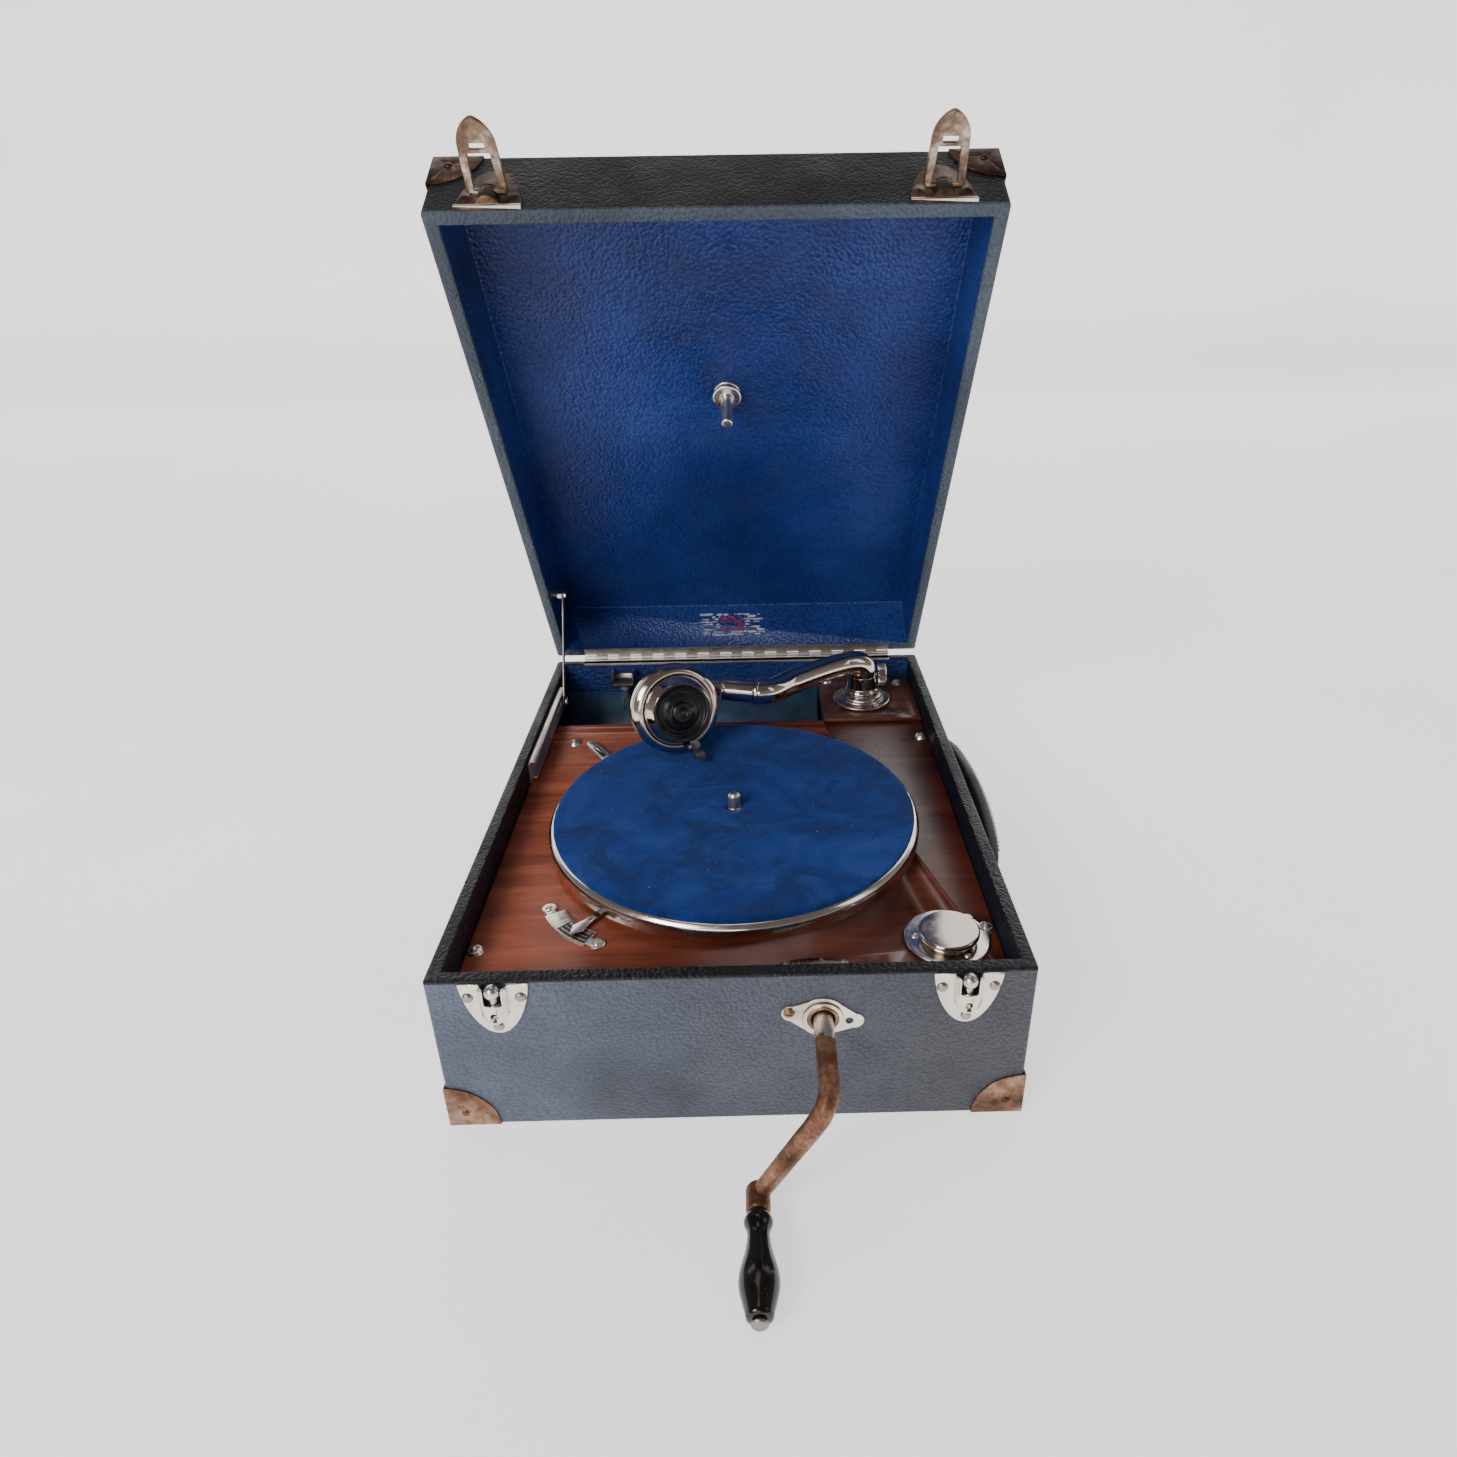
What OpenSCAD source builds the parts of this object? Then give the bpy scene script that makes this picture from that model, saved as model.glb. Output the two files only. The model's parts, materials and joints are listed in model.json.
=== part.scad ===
// Portable wind-up phonograph: hinged case, spring motor, turntable, swan-neck
// tone arm with soundbox, winding crank.
// Frame: X right, Y towards the back, Z up; origin under the middle of the base.

/* [Case] */
// Outer width of the case
case_w = 285; // [270:1:310]
// Outer depth of the case
case_d = 367; // [350:1:390]
// Height of the base, from the table to its rim
base_h = 92; // [90:1:96]
// Depth of the lid, rim to outer panel
lid_h = 48; // [44:1:52]
// Thickness of the walls
wall_t = 7.3; // [6:0.1:8]
// Thickness of the bottom and lid panels
panel_t = 5; // [4:0.5:6]
// Opening angle of the lid as it stands
lid_open = 58.8; // [50:0.1:60]

/* [Hinge and stay] */
// Length of the piano hinge
hinge_len = 241.2; // [232:0.2:244]
// Radius of the hinge barrel
knuckle_r = 2; // [1.8:0.1:2.2]
// Gap between the rims when the lid is shut
rim_gap = 2.6; // [2.4:0.1:3]
// Length of the lid stay rod, pivot to pivot
stay_len = 81; // [78:0.5:84]

/* [Motor board] */
// Height of the top face of the motor board
board_z = 74.5; // [73:0.5:76]
// Thickness of the motor board
board_t = 5; // [4:0.5:5]

/* [Turntable] */
// Radius of the turntable over its rim
platter_r = 109.5; // [100:0.5:112]
// Height of the felt top
felt_z = 92.3; // [91:0.1:94]
// Distance of the spindle in front of the case middle
spindle_y = -38.5; // [-42:0.5:-34]
// Spindle radius
spindle_r = 3.6; // [3.5:0.05:3.65]

/* [Tone arm] */
// Radius of the arm tube
arm_r = 8.6; // [8:0.1:9]
// Radius of the soundbox
box_r = 29; // [27:0.5:29]
// Radius of the arm flange
flange_r = 21.8; // [20:0.1:23]

/* [Crank] */
// Radius of the circle the grip runs on
crank_arm = 64; // [58:0.5:64]
// Radius of the crank rod
rod_r = 4.7; // [4.2:0.1:5]
// Length of the grip
grip_len = 47; // [44:0.5:55]

/* [Hidden] */
$fn = 64;
eps = 0.01;
hw = case_w / 2;
hd = case_d / 2;
in_x = hw - wall_t;
in_y = hd - wall_t;
hinge_y = hd + 1.5;
hinge_z = base_h + rim_gap / 2;
board_low = board_z - board_t;
board_back = 104;
gap = 0.25;
shaft_r = spindle_r + 0.6;

latch_x = 110;

arm_x = 94.5;
arm_y = 133.7;
arm_board_z = 77.5;
ring_p = [14.8, 61.9, 119.6];
sleeve_yaw = 173;
sleeve_rise = 3.7;
sleeve_len = 82;
box_p = [-38.1, 32.8, 122.9];
box_yaw = -66.1;
box_rise = 12.1;

crank_x = 42.4;
crank_z = 66;
bend_y = -hd - 52;
arm_turn = -30.2;

barrel_p = [crank_x, -90];
barrel_r = 36;
spin_p = [0, spindle_y];
great_n = 76;
small_n = 12;
wheel_n = 48;
plate_z = 53;
low_z = 9;

function unit(v) = v / norm(v);
function meet(a, b, ra, rb) =
    let (d = norm(b - a), k = (ra * ra - rb * rb + d * d) / (2 * d))
    let (u = (b - a) / d, h = sqrt(ra * ra - k * k))
    a + k * u + h * [-u[1], u[0]] * -1;
inter_p = meet(barrel_p, spin_p, (great_n + small_n) / 2, (wheel_n + small_n) / 2);
function heading(a, b) = atan2(b[1] - a[1], b[0] - a[0]);

// ---- shared shapes -------------------------------------------------------

// Box from its lowest corner to its highest
module block(lo, hi) {
    translate(lo)
        cube(hi - lo);
}

// Flat outline of a spur gear: straight-flanked teeth with backlash
module gear_face(n, m, phase) {
    ra = m * n / 2 + 0.75 * m;
    rd = m * n / 2 - 1.05 * m;
    step = 360 / n;
    polygon([for (i = [0 : n - 1], k = [0 : 3])
        let (a = phase + i * step)
        let (off = [-0.27, -0.12, 0.12, 0.27][k] * step)
        let (r = (k == 0 || k == 3) ? rd : ra)
        r * [cos(a + off), sin(a + off)]]);
}

// Knurled or scalloped disc about Z
module fluted(r, h, n, depth) {
    difference() {
        cylinder(h = h, r = r);
        for (i = [0 : n - 1])
            rotate([0, 0, i * 360 / n])
                translate([r + depth * 0.4, 0, -1])
                    cylinder(h = h + 2, r = depth, $fn = 16);
    }
}

// Round section swept along a list of points; hollow where inner is not zero
module swept(path, radii, inner = 0, sides = 24) {
    n = len(path);
    rings = inner > 0 ? 2 : 1;
    function tan_at(i) = unit(path[min(i + 1, n - 1)] - path[max(i - 1, 0)]);
    function side_at(i) = unit(cross(tan_at(i), [0.35, -0.62, 0.7]));
    function at(w, i, k) = w * n * sides + i * sides + k % sides;
    function fill(a, b, c, d, turn) = turn ? [[a, c, b], [a, d, c]] : [[a, b, c], [a, c, d]];
    pts = [for (w = [0 : rings - 1], i = [0 : n - 1], k = [0 : sides - 1])
        let (t = tan_at(i), s = side_at(i), u = cross(s, t), a = 360 * k / sides)
        path[i] + (radii[i] - w * inner) * (cos(a) * s + sin(a) * u)];
    walls = [for (w = [0 : rings - 1], i = [0 : n - 2], k = [0 : sides - 1])
        each fill(at(w, i, k), at(w, i, k + 1), at(w, i + 1, k + 1), at(w, i + 1, k), w == 1)];
    solid_ends = [[for (k = [0 : sides - 1]) at(0, 0, sides - 1 - k)],
        [for (k = [0 : sides - 1]) at(0, n - 1, k)]];
    open_ends = [for (k = [0 : sides - 1], e = [0, 1])
        each fill(at(0, e * (n - 1), k), at(0, e * (n - 1), k + 1),
            at(1, e * (n - 1), k + 1), at(1, e * (n - 1), k), e == 0)];
    polyhedron(points = pts, faces = concat(walls, inner > 0 ? open_ends : solid_ends),
        convexity = 8);
}

function bezier(p, t) =
    pow(1 - t, 3) * p[0] + 3 * pow(1 - t, 2) * t * p[1]
    + 3 * (1 - t) * t * t * p[2] + t * t * t * p[3];

// Places its children in the frame of the open lid; the lid is drawn shut
module lid_frame_of() {
    translate([0, hinge_y, hinge_z])
        rotate([-lid_open, 0, 0])
            translate([0, -hinge_y, -hinge_z])
                children();
}

lid_low = base_h + rim_gap;
lid_top = lid_low + lid_h;

// Round-headed wood screw, head down on z = 0, shank below
module wood_screw(r, shank) {
    difference() {
        union() {
            intersection() {
                translate([0, 0, -r * 0.6])
                    sphere(r = r * 1.17);
                translate([0, 0, 0])
                    cylinder(h = r, r = r);
            }
            translate([0, 0, -shank])
                cylinder(h = shank + eps, r = r * 0.4);
        }
        translate([-r * 1.2, -r * 0.11, r * 0.32])
            cube([r * 2.4, r * 0.22, r]);
    }
}

// Pointed half oval with its straight side on y = 0, pointing to -Y
module shield(w, h) {
    polygon([for (i = [0 : 36])
        let (a = i * 5)
        [w / 2 * cos(a), -h * pow(sin(a), 1.3)]]);
}

// ---- case ----------------------------------------------------------------

module base_case() {
    color("midnightblue")
        difference() {
            block([-hw, -hd, 0], [hw, hd, base_h]);
            block([-in_x, -in_y, -1], [in_x, in_y, base_h + 1]);
            block([-hw + 4, -hd + 4, -1], [hw - 4, hd - 4, panel_t]);
            block([-hinge_len / 2 - gap, in_y - 1, base_h - 1],
                [hinge_len / 2 + gap, hd + 1, base_h + 1]);
            translate([crank_x, -hd - 1, crank_z])
                rotate([-90, 0, 0])
                    cylinder(h = wall_t + 2, r = rod_r + 0.8);
            for (s = [-1, 1])
                translate([s * latch_x, -hd + 3, base_h - 7])
                    block([-5.5, -4, -19], [5.5, 0, 5.6]);
            for (s = [-1, 1])
                translate([s * latch_x, -hd - 1, 0])
                    rotate([-90, 0, 0])
                        for (q = lock_holes)
                            translate([q[0], -q[1], 0])
                                cylinder(h = 5, r = 1.05);
            for (q = handle_screws)
                translate([hw - 6, q[0], q[1]])
                    rotate([0, 90, 0])
                        cylinder(h = 8, r = 1.65);
            for (sx = [-1, 1], sy = [-1, 1]) {
                corner_nail_holes(sx, sy, 8.2);
                corner_notch(sx, sy);
            }
            for (q = [[-16, 3.8], [12.6, -2.4]])
                translate([crank_x + q[0], -hd - 1, crank_z + q[1]])
                    rotate([-90, 0, 0])
                        cylinder(h = 7, r = 1.3);
            for (y = [track_y0 + 10, track_y1 - 10])
                translate([-in_x - 5, y, stay_z])
                    rotate([0, 90, 0])
                        cylinder(h = 6, r = 1.25);
            translate([clip_x, in_y - 1, clip_z - 6])
                rotate([-90, 0, 0])
                    cylinder(h = 5, r = 1.3);
        }
}

module bottom_panel() {
    color("black")
        difference() {
            block([-hw + 4 + gap, -hd + 4 + gap, 0], [hw - 4 - gap, hd - 4 - gap, panel_t - gap]);
            for (sx = [-1, 1], sy = [-1, 1])
                corner_notch(sx, sy);
        }
}

// Room for a corner protector's lower flange
module corner_notch(sx, sy) {
    translate([sx * hw, sy * hd, -0.1])
        cylinder(h = 1.1, r = corner_size + 0.2);
}

module motor_board() {
    color("saddlebrown")
        difference() {
            union() {
                block([-in_x + gap, -in_y + gap, board_low], [in_x - gap, board_back, board_z]);
                block([-in_x + gap, board_back - 13, board_z - eps],
                    [arm_edge - gap, board_back - 9.5, board_z + 0.9]);
                block([-in_x + gap, board_back - 4, board_z - eps],
                    [arm_edge - gap, board_back, board_z + 0.9]);
            }
            translate([0, spindle_y, board_low - 1])
                cylinder(h = board_t + 3, r = 8);
            block([crank_x - 11, -in_y - 1, board_low - 1], [crank_x + 11, -156, board_z + 1]);
            block([crank_x - 8, -115, board_low - 1], [crank_x + 8, -99.5, crank_z + 7.2]);
            for (q = board_screws)
                translate([q[0], q[1], board_low - 1])
                    cylinder(h = board_t + 2, r = 1.3);
            for (q = bolt_pos)
                translate([q[0], q[1], board_low - 1])
                    cylinder(h = board_t + 2, r = 2.1);
            for (q = plate_screws)
                translate([q[0], q[1], board_low - 1])
                    cylinder(h = board_t + 2, r = 1.05);
            translate([regulator_p[0], regulator_p[1], board_low - 1])
                cylinder(h = board_t + 2, r = 3.05);
            translate([brake_p[0], brake_p[1], board_low - 1])
                cylinder(h = board_t + 2, r = 2.05);
            translate([cup_p[0], cup_p[1], board_low - 1])
                cylinder(h = board_t + 2, r = 12.2);
            for (q = cup_screws)
                translate([q[0], q[1], board_low - 1])
                    cylinder(h = board_t + 2, r = 1.05);
            translate([cup_pivot[0], cup_pivot[1], board_low - 1])
                cylinder(h = board_t + 2, r = 1.55);
        }
}

board_screws = [[-130.5, -142], [-114, 77], [130, -133], [130.5, 76]];
arm_edge = 64.5;
arm_screws = [[125, 160], [70.5, 166]];
plate_screws = [[-98.5, -109.8], [-69.2, -139.2]];
regulator_p = [-52, -92];
brake_p = [-88, 53];
cup_p = [109, -140];
cup_pivot = [120.6, -130.2];
cup_lid_p = [109.3, -141];
cup_screws = [[92.4, -139], [116.4, -154.8]];
bolt_pos = [[-50, -22], [4, -98], [82, -14]];

// Raised board that carries the tone arm, with the sound hole
module arm_board() {
    color("saddlebrown")
        difference() {
            block([arm_edge, board_back - 3.6 + gap, 67.5], [in_x - gap, in_y - gap, arm_board_z]);
            block([arm_edge - 1, 90, 60], [in_x + 1, board_back + gap, board_z + gap]);
            translate([arm_x, arm_y, 60])
                cylinder(h = 20, r = 9.2);
            translate([arm_x, arm_y, arm_board_z - 2])
                cylinder(h = 3, r = 13.1);
            for (q = arm_screws)
                translate([q[0], q[1], 60])
                    cylinder(h = 20, r = 1.3);
            for (i = [0 : 2])
                translate([arm_x, arm_y, 60])
                    rotate([0, 0, 60 + i * 120])
                        translate([18.4, 0, 0])
                            cylinder(h = 20, r = 1.05);
        }
}

// Every screw, washer, nail and bolt that is driven into the base
module case_fasteners() {
    color("silver") {
        base_nails();
        handle_bracket_screws();
        cup_washers();
        motor_bolts();
        for (q = board_screws)
            translate([q[0], q[1], board_z + 1.6])
                wood_screw(2.9, 9.5);
        for (q = arm_screws)
            translate([q[0], q[1], arm_board_z + 1.6])
                wood_screw(2.9, 9.5);
        for (q = plate_screws)
            translate([q[0], q[1], board_z + 1.2])
                wood_screw(2, 5);
        for (i = [0 : 2])
            translate([arm_x, arm_y, arm_board_z + 2.2])
                rotate([0, 0, 60 + i * 120])
                    translate([18.4, 0, 0])
                        wood_screw(2, 8);
        for (q = cup_screws)
            translate([q[0], q[1], board_z + 1.1])
                wood_screw(2, 5);
        translate([crank_x - 16, -hd - 1.6, crank_z + 3.8])
            rotate([90, 0, 0])
                wood_screw(2.8, 7);
        for (y = [track_y0 + 10, track_y1 - 10])
            translate([-in_x + 1.2, y, stay_z])
                rotate([0, 90, 0])
                    wood_screw(2, 4.5);
        translate([clip_x, in_y - 1.2, clip_z - 6])
            rotate([90, 0, 0])
                wood_screw(2.2, 3.8);
    }
}

// Cup washers under the six large board screws
module cup_washers() {
    for (q = board_screws)
        translate([q[0], q[1], board_z])
            cup_washer();
    for (q = arm_screws)
        translate([q[0], q[1], arm_board_z])
            cup_washer();
}

module cup_washer() {
    difference() {
        cylinder(h = 1.6, r1 = 4.4, r2 = 3.4);
        translate([0, 0, -1])
            cylinder(h = 4, r = 1.35);
    }
}

// Curved sheet that turns the sound up out of the case, behind the board
module horn_reflector() {
    color("steelblue")
        difference() {
            union() {
                translate([-in_x + 0.6, in_y - 46, 65.5])
                    rotate([0, 90, 0])
                        rotate([0, 0, 0])
                            intersection() {
                                difference() {
                                    cylinder(h = arm_edge - 0.6 + in_x - 0.6, r = 44.8);
                                    translate([0, 0, -1])
                                        cylinder(h = 400, r = 44);
                                }
                                translate([0, 0, -1])
                                    cube([60, 60, 400]);
                            }
                block([-in_x + 0.6, in_y - 2, 65.4], [arm_edge - 0.6, in_y - 1.2, 68.4]);
            }
            translate([-110.5, in_y - 4, 66.9])
                rotate([-90, 0, 0])
                    cylinder(h = 5, r = 0.6);
        }
}

// Metal throat under the arm board that feeds the horn space
module horn_throat() {
    color("steelblue")
        difference() {
            union() {
                block([66, 108, 22], [124, 160, 67.4]);
                translate([66, 134, 40])
                    rotate([0, -90, 0])
                        cylinder(h = 3, r = 17);
            }
            block([67, 109, 23], [123, 159, 66]);
            translate([arm_x, arm_y, 60])
                cylinder(h = 10, r = 9.2);
            translate([70, 134, 40])
                rotate([0, -90, 0])
                    cylinder(h = 20, r = 16);
        }
}

// Thin plate over the notch where the winding shaft is put in
module shaft_cover() {
    color("silver")
        translate([crank_x - 1.5, 0, board_z])
            intersection() {
                translate([0, -206.5, 0])
                    cylinder(h = 0.9, r = 53);
                block([-16, -in_y + gap, 0], [16, -140, 0.9]);
            }
}

// ---- lid -----------------------------------------------------------------

module lid_walls() {
    color("midnightblue")
        lid_frame_of()
            difference() {
                block([-hw, -hd, lid_low], [hw, hd, lid_top]);
                block([-in_x, -in_y, lid_low - 1], [in_x, in_y, lid_top + 1]);
                block([-hw + 4, -hd + 4, lid_top - panel_t], [hw - 4, hd - 4, lid_top + 1]);
                block([-hinge_len / 2 - gap, in_y - 1, lid_low - 1],
                    [hinge_len / 2 + gap, hd + 1, lid_low + 1]);
                for (s = [-1, 1], q = hasp_holes)
                    translate([s * latch_x + q[0], -hd - 1, lid_low + q[1]])
                        rotate([-90, 0, 0])
                            cylinder(h = 5, r = 1.05);
                for (sx = [-1, 1], sy = [-1, 1]) {
                    corner_nail_holes(sx, sy, lid_top - 8.2);
                    translate([0, 0, lid_top - 0.9])
                        corner_notch(sx, sy);
                }
                translate([-in_x - 5, stay_top[0], stay_top[1]])
                    rotate([0, 90, 0])
                        cylinder(h = 6, r = 2.05);
            }
}

module lid_panel() {
    color("midnightblue")
        lid_frame_of()
            difference() {
                block([-hw + 4 + gap, -hd + 4 + gap, lid_top - panel_t + gap],
                    [hw - 4 - gap, hd - 4 - gap, lid_top]);
                for (sx = [-1, 1], sy = [-1, 1])
                    translate([0, 0, lid_top - 0.9])
                        corner_notch(sx, sy);
                translate([0, spindle_y, lid_top - panel_t - 1])
                    cylinder(h = panel_t - 0.5, r = 2.05);
            }
}

// Post in the lid that holds records down on the spindle when shut
module record_post() {
    color("silver")
        lid_frame_of()
            translate([0, spindle_y, lid_top - panel_t + gap])
                mirror([0, 0, 1]) {
                    cylinder(h = 1.6, r = 8.4);
                    translate([0, 0, -3])
                        cylinder(h = 4, r = 2);
                    translate([0, 0, 1])
                        cylinder(h = 5, r = 6);
                    translate([0, 0, 4.4])
                        cylinder(h = 1.8, r = 9.1);
                    translate([0, 0, 5])
                        cylinder(h = 12, r = 4);
                    translate([0, 0, 16])
                        cylinder(h = 14, r = 3.1);
                }
}

// ---- piano hinge ---------------------------------------------------------

knuckle_count = 27;
knuckle = hinge_len / knuckle_count;

function knuckle_x(i) = -hinge_len / 2 + i * knuckle + 0.1;

// Every other barrel knuckle, with the strap that joins each one to its leaf
module knuckles(first, z0, z1) {
    for (i = [first : 2 : knuckle_count - 1]) {
        translate([knuckle_x(i), hinge_y, hinge_z])
            rotate([0, 90, 0])
                cylinder(h = knuckle - 0.2, r = knuckle_r, $fn = 32);
        block([knuckle_x(i), hd - 0.7, z0], [knuckle_x(i) + knuckle - 0.2, hinge_y, z1]);
    }
}

module hinge_bore() {
    translate([-hinge_len / 2 - 1, hinge_y, hinge_z])
        rotate([0, 90, 0])
            cylinder(h = hinge_len + 2, r = 1.05, $fn = 32);
}

module hinge_base_leaf() {
    color("gray")
        difference() {
            union() {
                knuckles(0, base_h - 0.98, base_h);
                block([-hinge_len / 2, in_y - 0.6, base_h - 0.98], [hinge_len / 2, hd - 0.6, base_h]);
            }
            hinge_bore();
        }
}

module hinge_lid_leaf() {
    color("gray")
        lid_frame_of()
            difference() {
                union() {
                    knuckles(1, lid_low, lid_low + 0.98);
                    block([-hinge_len / 2, in_y - 0.6, lid_low],
                        [hinge_len / 2, hd - 0.6, lid_low + 0.98]);
                }
                hinge_bore();
            }
}

module hinge_pin() {
    color("silver")
        translate([-hinge_len / 2 - 0.5, hinge_y, hinge_z])
            rotate([0, 90, 0])
                cylinder(h = hinge_len + 1, r = 1, $fn = 32);
}

// ---- lid stay ------------------------------------------------------------

stay_z = 82.8;
stay_top = [hinge_y - 60.6, hinge_z + 16.4];
stay_x = -in_x + 5.6;
track_y0 = 26;
track_y1 = 141;

function opened(p) =
    let (y = p[0] - hinge_y, z = p[1] - hinge_z, c = cos(lid_open), s = -sin(lid_open))
    [hinge_y + y * c - z * s, hinge_z + y * s + z * c];
top_now = opened(stay_top);
slide_now = top_now[0] - sqrt(pow(stay_len, 2) - pow(top_now[1] - stay_z, 2));

// Slotted channel on the left wall in which the stay slides
module stay_track() {
    color("gray")
        difference() {
            union() {
                block([-in_x, track_y0, stay_z - 5.5], [-in_x + 1.2, track_y1, stay_z + 5.5]);
                for (s = [-1, 1])
                    block([-in_x + 0.1, track_y0, stay_z + s * 5.5 - 0.6],
                        [-in_x + 4.6, track_y1, stay_z + s * 5.5 + 0.6]);
                block([-in_x, track_y0 - 3, stay_z - 8], [-in_x + 1.2, track_y0 + 9, stay_z + 6]);
            }
            for (y = [track_y0 + 10, track_y1 - 10])
                translate([-in_x - 1, y, stay_z])
                    rotate([0, 90, 0])
                        cylinder(h = 3, r = 0.85);
        }
}

// Sliding shoe with its pivot stud and thumb catch
module stay_slider() {
    color("silver")
        translate([-in_x, slide_now, stay_z]) {
            block([3.3, -4.6, -3.1], [4.5, 4.6, 3.1]);
            block([4.4, -2.4, -2.4], [4.9, 2.4, 2.4]);
            translate([4.4, 0, 0])
                rotate([0, 90, 0])
                    cylinder(h = 4.2, r = 1.9);
            translate([7.1, 0, 0])
                rotate([0, 90, 0])
                    cylinder(h = 1.5, r = 3.4);
        }
}

module stay_rod() {
    d = top_now - [slide_now, stay_z];
    color("silver")
        translate([stay_x - 0.3, slide_now, stay_z])
            rotate([atan2(d[1], d[0]), 0, 0])
                difference() {
                    union() {
                        block([0, 0, -2.2], [1.2, stay_len, 2.2]);
                        for (y = [0, stay_len])
                            translate([0, y, 0])
                                rotate([0, 90, 0])
                                    cylinder(h = 1.2, r = 4.2);
                    }
                    for (y = [0, stay_len])
                        translate([-1, y, 0])
                            rotate([0, 90, 0])
                                cylinder(h = 4, r = y > 0 ? 2.05 : 1.96);
                }
}

// Headed pivot stud of the stay, riveted in the lid's side wall
module stay_rivet() {
    color("silver")
        lid_frame_of()
            translate([-in_x - 4.5, stay_top[0], stay_top[1]])
                rotate([0, 90, 0]) {
                    cylinder(h = 11.6, r = 2);
                    translate([0, 0, 4.6])
                        cylinder(h = 4.9, r = 3.6);
                    translate([0, 0, 11.4])
                        cylinder(h = 1.3, r = 3.4);
                }
}

// ---- corners, locks and hasps -------------------------------------------

corner_size = 25;

// One corner protector on the corner at sx, sy; zf is the height of its flat
// face and dir the way in from it
module corner_piece(sx, sy, zf, dir) {
    t = 0.8;
    difference() {
        intersection() {
            translate([sx * hw, sy * hd, zf])
                union() {
                    translate([0, sy * t, 0])
                        rotate([sy * 90, 0, 0])
                            cylinder(h = t, r = corner_size);
                    translate([sx * t, 0, 0])
                        rotate([0, -sx * 90, 0])
                            cylinder(h = t, r = corner_size);
                    translate([0, 0, dir > 0 ? 0 : -t])
                        cylinder(h = t, r = corner_size);
                }
            translate([sx * (hw - 15 + t), sy * (hd - 15 + t), zf + dir * 15])
                cube([30, 30, 30], center = true);
        }
        corner_nail_holes(sx, sy, zf + dir * 8.2);
    }
}

module corner_nail_holes(sx, sy, z) {
    translate([sx * (hw - 8.2), sy * (hd + 3), z])
        rotate([sy * 90, 0, 0])
            cylinder(h = 8, r = 0.9);
    translate([sx * (hw + 3), sy * (hd - 8.2), z])
        rotate([0, -sx * 90, 0])
            cylinder(h = 8, r = 0.9);
}

module base_corners() {
    color("peru")
        for (sx = [-1, 1], sy = [-1, 1])
            corner_piece(sx, sy, 0, 1);
}

module lid_corners() {
    color("peru")
        lid_frame_of()
            for (sx = [-1, 1], sy = [-1, 1])
                corner_piece(sx, sy, lid_top, -1);
}

lock_holes = [[-12.2, 83.3], [12.2, 83.3], [0, 65.8]];
hasp_holes = [[-12, 10.6], [12, 10.6]];

// Stamped shield on the front wall with a bulged, keyholed lock body
module lock_plate(s) {
    difference() {
        union() {
            translate([s * latch_x, -hd, base_h - 1.2])
                rotate([90, 0, 0])
                    linear_extrude(height = 1)
                        shield(32.5, 29.6);
            intersection() {
                translate([s * latch_x, -hd + 3.4, base_h - 22])
                    cylinder(h = 19.8, r = 9.2);
                translate([s * latch_x, -hd - 0.5, base_h - 14.6])
                    rotate([90, 0, 0])
                        linear_extrude(height = 9)
                            union() {
                                circle(r = 6.6);
                                translate([-6.6, 0])
                                    square([13.2, 20]);
                            }
            }
            for (q = lock_holes)
                translate([s * latch_x + q[0], -hd - 0.6, q[1]])
                    rotate([90, 0, 0])
                        wood_rivet(2.5);
        }
        translate([s * latch_x, -hd + 2.8, base_h - 18.4])
            cylinder(h = 30, r = 7.2);
        block([s * latch_x - 4.2, -hd - 8, base_h - 10.8], [s * latch_x + 4.2, -hd + 2, base_h + 5]);
        translate([s * latch_x, -hd - 9, 75.4])
            rotate([-90, 0, 0])
                cylinder(h = 6, r = 1.7);
        block([s * latch_x - 1, -hd - 9, 71.8], [s * latch_x + 1, -hd - 3, 75.4]);
    }
}

module wood_rivet(r) {
    intersection() {
        translate([0, 0, -r * 0.9])
            sphere(r = r * 1.35);
        cylinder(h = r, r = r);
    }
    translate([0, 0, -3.2])
        cylinder(h = 3.3, r = 1);
}

module lock_plates() {
    color("silver") {
        lock_plate(-1);
        lock_plate(1);
    }
}

// Ball-ended release button standing in the lock body
module lock_button(s) {
    color("silver")
        translate([s * latch_x, -hd - 2.9, base_h - 3.9]) {
            sphere(r = 3.7);
            translate([0, 0.8, -8])
                cylinder(h = 7, r = 2);
            translate([0, 2, -10])
                block([-3, -1.2, 0], [3, 1.2, 2.4]);
        }
}

module lock_button_left() {
    lock_button(-1);
}

module lock_button_right() {
    lock_button(1);
}

// Half-round plate on the lid front that carries a hasp in its tunnel
module hasp_plate(s) {
    translate([s * latch_x, -hd, lid_low])
        difference() {
            union() {
                translate([0, 0, 2])
                    rotate([90, 0, 0])
                        linear_extrude(height = 1)
                            mirror([0, 1])
                                shield(32.5, 31);
                block([-16.25, -2, 1], [16.25, 0, 2.9]);
                intersection() {
                    translate([0, -0.3, 2.8])
                        union() {
                            cylinder(h = 10, r = 5.7);
                            translate([0, 0, 9.9])
                                cylinder(h = 4, r1 = 5.7, r2 = 2.6);
                        }
                    block([-6, -7, 2], [6, -0.5, 20]);
                }
                for (q = hasp_holes)
                    translate([q[0], -0.6, q[1]])
                        rotate([90, 0, 0])
                            wood_rivet(2.5);
            }
            translate([-7, -3.6, 10.4])
                rotate([0, 90, 0])
                    cylinder(h = 14, r = 1.66);
            translate([0, -2.4, 2.9])
                cylinder(h = 4.6, r1 = 2.9, r2 = 2.6);
        }
}

module hasp_plates() {
    color("peru")
        lid_frame_of() {
            hasp_plate(-1);
            hasp_plate(1);
        }
}

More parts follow.
